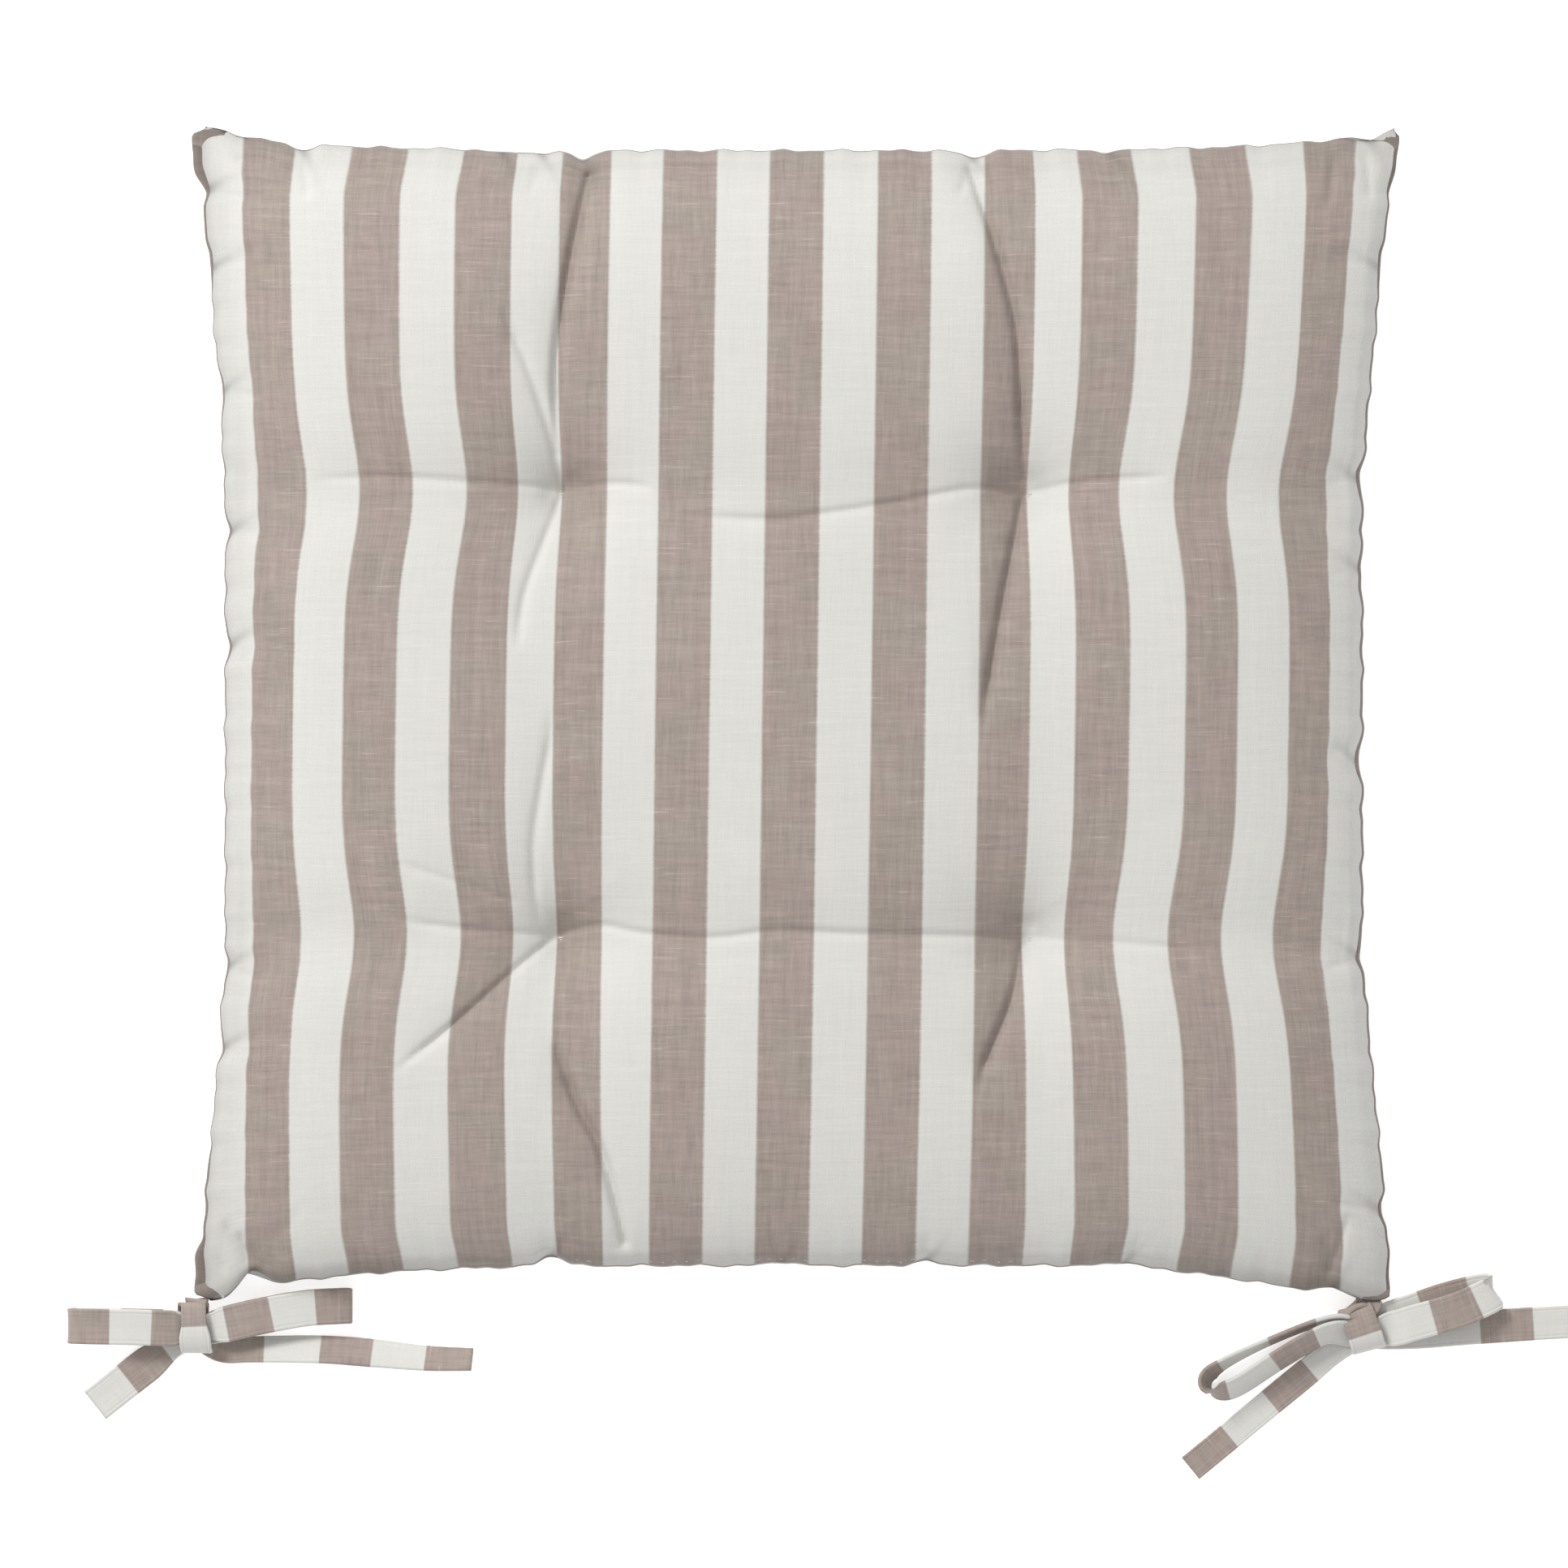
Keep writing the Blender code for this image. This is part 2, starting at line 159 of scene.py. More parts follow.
class Nodes:
    """A short way to write a material's node tree."""

    def __init__(self, name):
        self.material = bpy.data.materials.new(name)
        self.material.use_nodes = True
        self.tree = self.material.node_tree
        self.shader = self.tree.nodes["Principled BSDF"]

    def put(self, socket, value):
        if isinstance(value, bpy.types.NodeSocket):
            self.tree.links.new(value, socket)
        elif value is not None:
            socket.default_value = value

    def set(self, socket_name, value):
        self.put(self.shader.inputs[socket_name], value)

    def attribute(self, name):
        node = self.tree.nodes.new("ShaderNodeAttribute")
        node.attribute_name = name
        return node.outputs["Vector"]

    def object_place(self):
        return self.tree.nodes.new("ShaderNodeTexCoord").outputs["Object"]

    def math(self, operation, a, b=None):
        node = self.tree.nodes.new("ShaderNodeMath")
        node.operation = operation
        self.put(node.inputs[0], a)
        self.put(node.inputs[1], b)
        return node.outputs[0]

    def split(self, vector):
        node = self.tree.nodes.new("ShaderNodeSeparateXYZ")
        self.put(node.inputs[0], vector)
        return node.outputs

    def join(self, x, y, z=0.0):
        node = self.tree.nodes.new("ShaderNodeCombineXYZ")
        for socket, value in zip(node.inputs, (x, y, z)):
            self.put(socket, value)
        return node.outputs[0]

    def noise(self, vector, scale, detail=2.0, roughness=0.5):
        node = self.tree.nodes.new("ShaderNodeTexNoise")
        self.put(node.inputs["Vector"], vector)
        node.inputs["Scale"].default_value = scale
        node.inputs["Detail"].default_value = detail
        node.inputs["Roughness"].default_value = roughness
        return node.outputs["Fac"]

    def ramp(self, value, low, high):
        """0 below low, 1 above high."""
        node = self.tree.nodes.new("ShaderNodeMapRange")
        node.interpolation_type = "SMOOTHSTEP"
        self.put(node.inputs["Value"], value)
        node.inputs["From Min"].default_value = low
        node.inputs["From Max"].default_value = high
        return node.outputs[0]

    def mix(self, share, a, b):
        node = self.tree.nodes.new("ShaderNodeMix")
        node.data_type = "RGBA"
        for name, value in (("Factor", share), ("A", a), ("B", b)):
            self.put(node.inputs[name], value)
        return node.outputs["Result"]

    def scale_colour(self, colour, factor):
        node = self.tree.nodes.new("ShaderNodeVectorMath")
        node.operation = "SCALE"
        self.put(node.inputs[0], colour)
        self.put(node.inputs["Scale"], factor)
        return node.outputs[0]

    def bump(self, height, distance):
        """Sets the shader's normal from a height."""
        node = self.tree.nodes.new("ShaderNodeBump")
        node.inputs["Strength"].default_value = 0.8
        node.inputs["Distance"].default_value = distance
        self.put(node.inputs["Height"], height)
        self.set("Normal", node.outputs["Normal"])


BROWN = (0.335, 0.278, 0.250, 1)
BROWN_PINK = (0.345, 0.272, 0.250, 1)
BROWN_GREY = (0.322, 0.286, 0.246, 1)
OFF_WHITE = (0.628, 0.622, 0.592, 1)
THREAD_COLOUR = (0.62, 0.59, 0.54)
FIBRE_COLOUR = (0.80, 0.80, 0.78)
THREADS_PER_METRE = 2100.0  # of the weave, each way


def yarn_streaks(n, across, along, per_metre, lean, seed):
    """Noise drawn out along the yarns that run along."""
    stretched = n.join(n.math("MULTIPLY", across, per_metre), n.math("MULTIPLY", along, lean), seed)
    return n.math("SUBTRACT", n.noise(stretched, 1.0, 2.0, 0.6), 0.5)


def cotton(n, across, along, white_share, light=1.0):
    """Plain-weave cotton: its colour between brown and off-white, its uneven yarns and its relief. light is
    below 1 where shade is painted into the colour, beside the gathers of the seam."""
    warp = yarn_streaks(n, across, along, 1400.0, 90.0, 0.0)
    weft = yarn_streaks(n, along, across, 1300.0, 80.0, 7.0)
    warp_slubs = yarn_streaks(n, across, along, 420.0, 28.0, 3.0)
    weft_slubs = yarn_streaks(n, along, across, 380.0, 36.0, 5.0)
    patch = n.noise(n.join(across, along, 2.0), 38.0)

    brown = n.mix(n.ramp(patch, 0.38, 0.62), BROWN_PINK, BROWN_GREY)
    brown = n.mix(0.6, brown, BROWN)
    colour = n.mix(white_share, brown, OFF_WHITE)

    # Yarns vary in thickness and shade over a few millimetres, which the brown shows most.
    yarns = n.math("ADD", warp, weft)
    slubs = n.math("ADD", warp_slubs, weft_slubs)
    amount = n.math("ADD", n.math("MULTIPLY", yarns, 0.34), n.math("MULTIPLY", slubs, 0.34))
    strength = n.math("SUBTRACT", 1.0, n.math("MULTIPLY", white_share, 0.80))
    fleck = n.math("MULTIPLY", n.ramp(yarn_streaks(n, along, across, 1100.0, 60.0, 9.0), 0.10, 0.26), 0.30)
    shade = n.math("ADD", 1.0, n.math("MULTIPLY", n.math("ADD", amount, fleck), strength))
    # light scales the colour down with the painted shade.
    n.set("Base Color", n.scale_colour(colour, n.math("MULTIPLY", shade, light)))

    # The over-and-under of the weave, with the slubs standing a little proud.
    turn = math.pi * THREADS_PER_METRE
    over = n.math("SINE", n.math("MULTIPLY", across, turn))
    under = n.math("SINE", n.math("MULTIPLY", along, turn))
    uneven = n.math("MULTIPLY", n.math("ADD", yarns, slubs), 1.6)
    n.bump(n.math("ADD", n.math("MULTIPLY", n.math("MULTIPLY", over, under), 0.5), uneven), 0.00006)
    n.set("Roughness", n.math("ADD", 0.90, n.math("MULTIPLY", weft, 0.1)))
    n.set("Specular IOR Level", 0.25)
    n.set("Sheen Weight", 0.12)
    n.set("Sheen Roughness", 0.55)


def pad_cloth():
    """The panels' cloth, striped along Y. The attribute "cut" holds each point's place on the flat cloth,
    then the share of its colour that the painted shade leaves."""
    n = Nodes("striped_cotton")
    across, along, light = n.split(n.attribute("cut"))
    waver = n.math("MULTIPLY", yarn_streaks(n, along, across, 1300.0, 80.0, 7.0), 0.0005)
    place = n.math("DIVIDE", n.math("SUBTRACT", n.math("ADD", across, waver), STRIPE_CENTRE), STRIPE_PITCH)
    from_middle = n.math("ABSOLUTE", n.math("SUBTRACT", n.math("FRACT", n.math("ADD", place, 0.5)), 0.5))
    edge = STRIPE_SHARE / 2
    soft = 0.0006 / STRIPE_PITCH
    cotton(n, across, along, n.ramp(from_middle, edge - soft, edge + soft), light)
    return n.material


def tape_cloth():
    """The ties' cloth, striped across. The attribute "tape" holds the place across and along the tape, then
    the distance from the nearest stripe's edge, which is above 0 in the white."""
    n = Nodes("tie_tape")
    across, along, into_white = n.split(n.attribute("tape"))
    cotton(n, across, along, n.ramp(into_white, -0.0003, 0.0003))
    return n.material


def thread_material():
    n = Nodes("cotton_thread")
    ply = n.noise(n.object_place(), 2600.0, 3.0, 0.6)
    n.set("Base Color", n.scale_colour(THREAD_COLOUR, n.math("ADD", 0.75, n.math("MULTIPLY", ply, 0.5))))
    n.bump(ply, 0.0001)
    n.set("Roughness", n.math("ADD", 0.55, n.math("MULTIPLY", ply, 0.3)))
    return n.material


def fibre_material():
    n = Nodes("polyester_fibre")
    fluff = n.noise(n.object_place(), 420.0, 6.0, 0.75)
    n.set("Base Color", n.scale_colour(FIBRE_COLOUR, n.math("ADD", 0.85, n.math("MULTIPLY", fluff, 0.3))))
    n.bump(fluff, 0.0012)
    n.set("Roughness", n.math("ADD", 0.80, n.math("MULTIPLY", fluff, 0.2)))
    n.set("Sheen Weight", 0.3)
    return n.material


# ------------------------ making objects


def object_from(name, points, faces, material):
    """A smooth-shaded mesh object."""
    mesh = bpy.data.meshes.new(name)
    mesh.from_pydata(points.tolist(), [], faces.tolist())
    mesh.shade_smooth()
    mesh.materials.append(material)
    obj = bpy.data.objects.new(name, mesh)
    bpy.context.scene.collection.objects.link(obj)
    return obj


def add_vectors(obj, name, domain, vectors):
    made = obj.data.attributes.new(name, "FLOAT_VECTOR", domain)
    made.data.foreach_set("vector", np.asarray(vectors, np.float32).ravel())


def thread_object(name, lines, radius, material):
    """Round threads, one along each list of points."""
    curve = bpy.data.curves.new(name, "CURVE")
    curve.dimensions = "3D"
    curve.bevel_depth = radius
    curve.bevel_resolution = 2
    curve.use_fill_caps = True
    for line in lines:
        spline = curve.splines.new("POLY")
        spline.points.add(len(line) - 1)
        for place, point in zip(spline.points, line):
            place.co = (*point, 1.0)
    curve.materials.append(material)
    obj = bpy.data.objects.new(name, curve)
    bpy.context.scene.collection.objects.link(obj)
    return obj


def belongs(obj, body, slot, *nodes):
    """The piece rides on a body and stands for CAD nodes, which are hidden. slot is not used."""
    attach(obj, body)
    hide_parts(*nodes)


def smooth_curve(rows, steps):
    """Catmull-Rom curve through rows of numbers, steps to each stretch."""
    rows = np.asarray(rows, float)
    ends = np.vstack([2 * rows[0] - rows[1], rows, 2 * rows[-1] - rows[-2]])
    t = (np.arange(steps) / steps)[:, None]
    parts = []
    for a, b, c, d in zip(ends, ends[1:], ends[2:], ends[3:]):
        parts.append(b + 0.5 * t * (c - a + t * (2 * a - 5 * b + 4 * c - d + t * (3 * (b - c) + d - a))))
    return np.vstack(parts + [rows[-1:]])


# ------------------------ ties

# Each stretch of tape is a list of (x, y, z, side azimuth, side tilt), in millimetres and degrees: the middle
# of the tape, then the direction of its width round Z and above the horizontal.
LEFT_OUTER_LOOP = [
    (-209.4, -205.5, 6.4, 90.0, 0.0),
    (-222.0, -205.0, 7.4, 90.0, 0.0),
    (-235.0, -204.8, 7.2, 90.0, 0.0),
    (-241.6, -204.7, 6.4, 90.0, 0.0),
    (-243.8, -204.7, 4.8, 90.0, 0.0),
    (-241.6, -204.7, 3.0, 90.0, 0.0),
    (-235.0, -204.8, 2.4, 90.0, 0.0),
    (-222.0, -205.0, 2.4, 90.0, 0.0),
    (-209.4, -205.5, 2.9, 90.0, 0.0),
]
LEFT_INNER_LOOP = [
    (-191.6, -204.2, 6.4, 99.0, 0.0),
    (-180.0, -201.5, 7.6, 99.0, 0.0),
    (-165.0, -198.8, 7.4, 94.0, 0.0),
    (-152.6, -198.0, 6.4, 90.0, 0.0),
    (-149.4, -198.0, 4.8, 90.0, 0.0),
    (-152.6, -198.0, 3.0, 90.0, 0.0),
    (-165.0, -198.8, 2.4, 94.0, 0.0),
    (-180.0, -201.5, 2.4, 99.0, 0.0),
    (-191.6, -204.2, 2.9, 99.0, 0.0),
]
LEFT_OUTER_TAIL = [
    (-210.6, -212.2, 1.0, 127.0, 0.0),
    (-218.0, -217.8, 0.9, 126.0, 0.0),
    (-227.0, -224.8, 0.9, 126.0, 0.0),
    (-235.6, -231.6, 0.9, 125.0, 0.0),
]
LEFT_INNER_TAIL = [
    (-192.9, -212.8, 1.0, 270.0, 0.0),
    (-184.0, -212.8, 1.6, 270.0, 8.0),
    (-175.0, -212.6, 3.0, 268.0, 22.0),
    (-158.0, -212.6, 4.5, 266.0, 38.0),
    (-141.0, -213.8, 4.9, 264.0, 44.0),
    (-124.0, -215.4, 5.4, 266.0, 52.0),
    (-108.6, -215.8, 5.8, 270.0, 58.0),
]
RIGHT_INNER_LOOP = [
    (180.8, -202.6, 6.6, 100.0, 70.0),
    (173.0, -204.0, 6.8, 108.0, 76.0),
    (157.5, -210.2, 6.8, 114.0, 76.0),
    (144.0, -216.8, 6.6, 122.0, 70.0),
    (138.2, -221.4, 6.4, 140.0, 60.0),
    (138.8, -225.8, 6.0, 150.0, 52.0),
    (143.6, -226.6, 5.9, 132.0, 52.0),
    (150.0, -224.0, 6.2, 126.0, 54.0),
    (162.0, -216.0, 7.2, 124.0, 54.0),
    (174.0, -209.0, 7.6, 118.0, 54.0),
    (180.6, -206.8, 7.2, 104.0, 50.0),
]
RIGHT_OUTER_LOOP = [
    (200.2, -205.6, 6.4, 90.0, 0.0),
    (207.0, -203.6, 7.8, 98.0, 0.0),
    (221.5, -199.4, 8.2, 108.0, 0.0),
    (230.0, -195.8, 7.2, 116.0, 0.0),
    (234.2, -193.6, 5.4, 118.0, 0.0),
    (231.4, -193.0, 3.5, 116.0, 0.0),
    (219.0, -196.0, 2.6, 110.0, 0.0),
    (206.0, -200.4, 2.6, 104.0, 0.0),
    (198.6, -203.0, 2.9, 96.0, 0.0),
]
RIGHT_INNER_TAIL = [
    (180.4, -213.6, 0.9, 130.0, 0.0),
    (171.0, -221.2, 0.8, 130.0, 0.0),
    (158.5, -231.4, 0.8, 130.0, 0.0),
    (145.0, -242.6, 0.8, 130.0, 0.0),
    (132.6, -252.8, 0.8, 130.0, 0.0),
]
RIGHT_OUTER_TAIL = [
    (198.4, -208.4, 1.0, 84.0, 0.0),
    (210.0, -207.0, 0.9, 84.0, 0.0),
    (225.0, -205.8, 0.9, 86.0, 0.0),
    (242.0, -204.6, 0.9, 86.0, 0.0),
    (262.0, -203.4, 0.9, 87.0, 0.0),
    (280.0, -202.8, 0.9, 88.0, 0.0),
]

# The runs from the seam through a knot to a loop, where a tape stands on its edge to turn, and from the loop
# back through the knot to the tail.
LEFT_OUTER_LEAD = [(-201.4, -195.6, 4.2, 0.0, 30.0), (-201.6, -198.2, 4.2, 0.0, 45.0),
                   (-202.2, -201.6, 5.0, 45.0, 80.0), (-203.4, -204.0, 4.9, 80.0, 55.0),
                   (-205.6, -205.0, 5.8, 88.0, 5.0)]
LEFT_INNER_LEAD = [(-201.2, -195.6, 3.0, 0.0, 30.0), (-200.9, -198.4, 3.3, 0.0, 45.0),
                   (-200.6, -201.6, 4.6, 45.0, 80.0), (-199.2, -203.8, 4.9, 80.0, 50.0),
                   (-196.4, -204.6, 5.8, 97.0, 5.0)]
LEFT_OUTER_BACK = [(-201.0, -208.2, 3.9, 90.0, 0.0)]
LEFT_INNER_BACK = [(-201.2, -207.6, 2.2, 110.0, 0.0), (-206.2, -209.8, 1.9, 122.0, -24.0)]
RIGHT_INNER_LEAD = [(192.4, -195.8, 5.2, 0.0, 0.0), (191.8, -198.4, 5.2, 0.0, 30.0),
                    (190.0, -201.2, 5.2, 45.0, 84.0), (185.6, -202.4, 5.8, 98.0, 76.0)]
RIGHT_OUTER_LEAD = [(192.4, -195.8, 3.6, 0.0, 0.0), (188.4, -197.6, 4.2, 20.0, 50.0),
                    (184.9, -200.4, 4.8, 45.0, 80.0), (186.4, -204.4, 5.0, 45.0, 86.0),
                    (193.0, -206.2, 5.4, 90.0, 40.0)]
RIGHT_INNER_BACK = [(189.6, -207.8, 4.2, 95.0, 24.0)]
RIGHT_OUTER_BACK = [(189.8, -207.8, 2.2, 112.0, 0.0)]

# Stripes: is the tape white before the first place at which its colour turns, then those places, as distances
# from a loop's or a tail's start.
LEFT_OUTER_LOOP_STRIPES = (False, [6.9, 20.9, 38.0, 53.0, 67.0])
LEFT_INNER_LOOP_STRIPES = (False, [-7.0, 0.5, 16.1, 31.1, 48.0, 64.0, 79.0])
LEFT_OUTER_TAIL_STRIPES = (True, [1.6, 17.6])
LEFT_INNER_TAIL_STRIPES = (False, [14.5, 33.5, 50.9, 68.9])
RIGHT_INNER_LOOP_STRIPES = (False, [-4.0, 6.5, 23.5, 41.7, 58.3, 76.8, 93.0])
RIGHT_OUTER_LOOP_STRIPES = (False, [-4.5, 14.2, 29.7, 46.0, 62.7])
RIGHT_INNER_TAIL_STRIPES = (True, [9.9, 26.9, 44.9])
RIGHT_OUTER_TAIL_STRIPES = (True, [31.7, 49.7])

# Widths at a tail's first stops, in millimetres. The last one holds to the tail's end.
LEFT_INNER_TAIL_WIDTHS = (8.8, 8.8, 9.4, 11.0, 12.0)
LEFT_OUTER_TAIL_WIDTHS = (9.0, 12.0)
RIGHT_INNER_TAIL_WIDTHS = (8.8, 9.4)
RIGHT_OUTER_TAIL_WIDTHS = (9.0, 11.2)

# Half of a tape's section: shares of the half width, then of the half thickness. The folded edges are a
# little thicker, and a row of stitching sinks in beside each.
TAPE_SECTION = [(1.0, 0.0), (0.985, 0.62), (0.94, 1.0), (0.86, 1.1), (0.80, 1.0), (0.77, 0.84), (0.74, 0.97),
                (0.64, 0.96), (0.38, 0.9), (0.12, 0.88)]
TAPE_CURL = 0.00015  # how far the edges bend down from the middle
RIBBON_STEP = 0.0011
HIDDEN_RUN = 0.008  # of a tape before its tail, inside the knot, that already follows the tail's stripes
CURVE_STEPS = 24


def unit(vectors):
    return vectors / np.linalg.norm(vectors, axis=-1, keepdims=True)


def run_along(points):
    """Distance along a line from its start to each of its points."""
    return np.concatenate([[0.0], np.cumsum(np.linalg.norm(np.diff(points, axis=0), axis=1))])


def side_vectors(stops):
    """The direction of the tape's width at each stop, turned so that neighbours point the same way."""
    azimuth, tilt = np.radians(np.array(stops)[:, 3:5]).T
    sides = np.stack([np.cos(azimuth) * np.cos(tilt), np.sin(azimuth) * np.cos(tilt), np.sin(tilt)], 1)
    for i in range(1, len(sides)):
        if sides[i] @ sides[i - 1] < 0:
            sides[i] *= -1
    return sides


def ribbon(name, middles, sides, widths, into_white, material):
    """A closed ribbon with sewn edges along a line of evenly close middles."""
    forward = unit(np.gradient(middles, axis=0))
    sides = unit(sides - forward * (sides * forward).sum(1, keepdims=True))
    faces_up = np.cross(forward, sides)
    half = TAPE_SECTION + [(-share, thick) for share, thick in TAPE_SECTION[::-1]]
    section = half + [(share, -thick) for share, thick in half[-2:0:-1]]
    share, thick = np.array(section).T
    across = share * widths[:, None] / 2
    rise = thick * TAPE_THICKNESS / 2 - TAPE_CURL * share**2
    rise = np.broadcast_to(rise, across.shape)
    points = middles[:, None] + across[..., None] * sides[:, None] + rise[..., None] * faces_up[:, None]
    run = run_along(middles)
    along = np.broadcast_to(run[:, None], across.shape)
    white = np.broadcast_to(into_white[:, None], across.shape)

    rings, around = across.shape
    index = np.arange(rings * around).reshape(rings, around)
    turned = np.roll(index, -1, axis=1)
    walls = np.stack([index[:-1], turned[:-1], turned[1:], index[1:]], -1).reshape(-1, 4)
    upper = np.arange(len(half))
    lower = -upper % around
    first = index[0][np.stack([upper[:-1], lower[:-1], lower[1:], upper[1:]], -1)]
    last = index[-1][np.stack([upper[:-1], upper[1:], lower[1:], lower[:-1]], -1)]
    caps = np.concatenate([first, last]).tolist()
    caps = [[corner for i, corner in enumerate(cap) if corner not in cap[:i]] for cap in caps]
    mesh_faces = np.empty(len(walls) + len(caps), object)
    mesh_faces[:] = walls.tolist() + caps
    obj = object_from(name, points.reshape(-1, 3), mesh_faces, material)
    add_vectors(obj, "tape", "POINT", np.stack([across, along, white], -1))
    return obj


def into_white_of(run, stripes):
    """Distance from the nearest stripe's edge, above 0 in the white."""
    starts_white, edges = stripes
    edges = np.array(edges) * MM
    nearest = np.abs(run[:, None] - edges).min(1)
    white = (np.searchsorted(edges, run) + starts_white) % 2 == 1
    return np.where(white, nearest, -nearest)


def tape(name, lead, loop, loop_stripes, back, tail, tail_stripes, tail_widths, material):
    """One tie tape from the seam through the knot, round its loop, back through the knot and along its tail.
    Returns the piece and the line that it follows."""
    stops = lead + loop + back + tail
    widths = [KNOT_WIDTH] * len(lead) + [TAPE_WIDTH] * len(loop) + [KNOT_WIDTH] * len(back)
    widths += [tail_widths[min(i, len(tail_widths) - 1)] * MM for i in range(len(tail))]
    places = np.array(stops)[:, :3] * MM
    dense = smooth_curve(np.column_stack([places, side_vectors(stops), widths]), CURVE_STEPS)
    run = run_along(dense[:, :3])
    even = np.linspace(0.0, run[-1], round(run[-1] / RIBBON_STEP) + 1)
    rows = np.stack([np.interp(even, run, column) for column in dense.T], 1)
    loop_start = run[CURVE_STEPS * len(lead)]
    tail_start = run[CURVE_STEPS * (len(lead) + len(loop) + len(back))]
    in_tail = even > tail_start - HIDDEN_RUN
    into_white = np.where(in_tail, into_white_of(even - tail_start, tail_stripes),
                          into_white_of(even - loop_start, loop_stripes))
    middles = rows[:, :3]
    piece = ribbon(name, middles, rows[:, 3:6], np.minimum(rows[:, 6], TAPE_WIDTH), into_white, material)
    return piece, middles


def knot_wrap(name, middle, half_y, half_z, turn, narrow, wide, colour_turn, material):
    """The turn of tape round the bundle: up its front side, over, and down its rear side. colour_turn is the
    place, above the bundle's middle line and in metres towards the front, where brown turns to white."""
    angle = np.radians(np.linspace(-110.0, 240.0, 120))
    share = np.linspace(0.0, 1.0, len(angle))
    tight = lerp(0.84, 1.0, smooth_step(0.0, 0.35, share))
    lean = lerp(-0.0012, 0.0012, share)
    y = half_y * tight * np.cos(angle)
    z = half_z * tight * np.sin(angle)
    cos, sin = math.cos(math.radians(turn)), math.sin(math.radians(turn))
    middles = np.stack([lean * cos - y * sin, lean * sin + y * cos, z], 1) + np.array(middle)
    sides = np.broadcast_to((cos, sin, 0.0), middles.shape)
    widths = lerp(narrow, wide, smooth_step(0.3 * half_y, -0.5 * half_y, y * np.where(z > 0, 1, -1)))
    run = run_along(middles)
    turning = np.interp(np.degrees(math.acos(colour_turn / half_y)), np.degrees(angle), run)
    return ribbon(name, middles, sides, widths, run - turning, material)


def declare_tie(piece, body, nodes):
    belongs(piece, body, "tie_tape", *nodes)


def make_knots(cloth):
    left = knot_wrap("left_knot_wrap", (-0.2018, -0.2053, 0.0051), half_y=0.0080, half_z=0.0047, turn=0.0,
                     narrow=0.0084, wide=0.0106, colour_turn=0.0006, material=cloth)
    belongs(left, "left_bow", "tie_tape", "left_tie_knot")
    right = knot_wrap("right_knot_wrap", (0.1899, -0.2055, 0.0053), half_y=0.0074, half_z=0.0048, turn=15.0,
                      narrow=0.0112, wide=0.0116, colour_turn=-0.0020, material=cloth)
    belongs(right, "right_bow", "tie_tape", "right_tie_knot")
    return left, right


def make_left_ties(cloth):
    piece, line = tape("left_tie_front_tape", LEFT_OUTER_LEAD, LEFT_OUTER_LOOP, LEFT_OUTER_LOOP_STRIPES,
                       LEFT_OUTER_BACK, LEFT_INNER_TAIL, LEFT_INNER_TAIL_STRIPES, LEFT_INNER_TAIL_WIDTHS,
                       cloth)
    nodes = ("left_tie_stem", "left_tie_outer_loop", "left_tie_inner_tail")
    declare_tie(piece, "left_bow", nodes)
    piece, line = tape("left_tie_back_tape", LEFT_INNER_LEAD, LEFT_INNER_LOOP, LEFT_INNER_LOOP_STRIPES,
                       LEFT_INNER_BACK, LEFT_OUTER_TAIL, LEFT_OUTER_TAIL_STRIPES, LEFT_OUTER_TAIL_WIDTHS,
                       cloth)
    nodes = ("left_tie_inner_loop", "left_tie_outer_tail")
    declare_tie(piece, "left_bow", nodes)


def make_right_ties(cloth):
    piece, line = tape("right_tie_front_tape", RIGHT_INNER_LEAD, RIGHT_INNER_LOOP, RIGHT_INNER_LOOP_STRIPES,
                       RIGHT_INNER_BACK, RIGHT_OUTER_TAIL, RIGHT_OUTER_TAIL_STRIPES, RIGHT_OUTER_TAIL_WIDTHS,
                       cloth)
    nodes = ("right_tie_stem", "right_tie_inner_loop", "right_tie_outer_tail")
    declare_tie(piece, "right_bow", nodes)
    piece, line = tape("right_tie_back_tape", RIGHT_OUTER_LEAD, RIGHT_OUTER_LOOP, RIGHT_OUTER_LOOP_STRIPES,
                       RIGHT_OUTER_BACK, RIGHT_INNER_TAIL, RIGHT_INNER_TAIL_STRIPES, RIGHT_INNER_TAIL_WIDTHS,
                       cloth)
    nodes = ("right_tie_outer_loop", "right_tie_inner_tail")
    declare_tie(piece, "right_bow", nodes)


# ------------------------ the pad's cut and seam


def crown(t):
    """Height of the start shape across it: 1 in the middle, 0 at both edges."""
    return (1 - np.minimum(1.0, np.abs(t)) ** 3.4) ** 0.55


# Places round the seam where the stitching draws it in: distance along the edge from its middle, then depth.
LEFT_NOTCHES = ((0.1755, 0.0014), (0.1500, 0.0016), (0.1090, 0.0022), (0.0616, 0.0016), (0.0236, 0.0018),
                (-0.0835, 0.0020), (-0.1106, 0.0016))
RIGHT_NOTCHES = ((0.1500, 0.0014), (0.0790, 0.0020), (0.0490, 0.0012), (-0.0150, 0.0020), (-0.0800, 0.0024),
                 (-0.1650, 0.0018))
FRONT_NOTCHES = ((-0.1650, 0.0022), (-0.0980, 0.0012), (-0.0850, 0.0016), (-0.0710, 0.0028), (0.0590, 0.0026),
                 (0.1050, 0.0010), (0.1905, 0.0038))
REAR_NOTCHES = ((-0.1815, 0.0065), (-0.0815, 0.0040), (-0.0050, 0.0014), (0.0440, 0.0016), (0.1100, 0.0016),
                (0.1800, 0.0022))
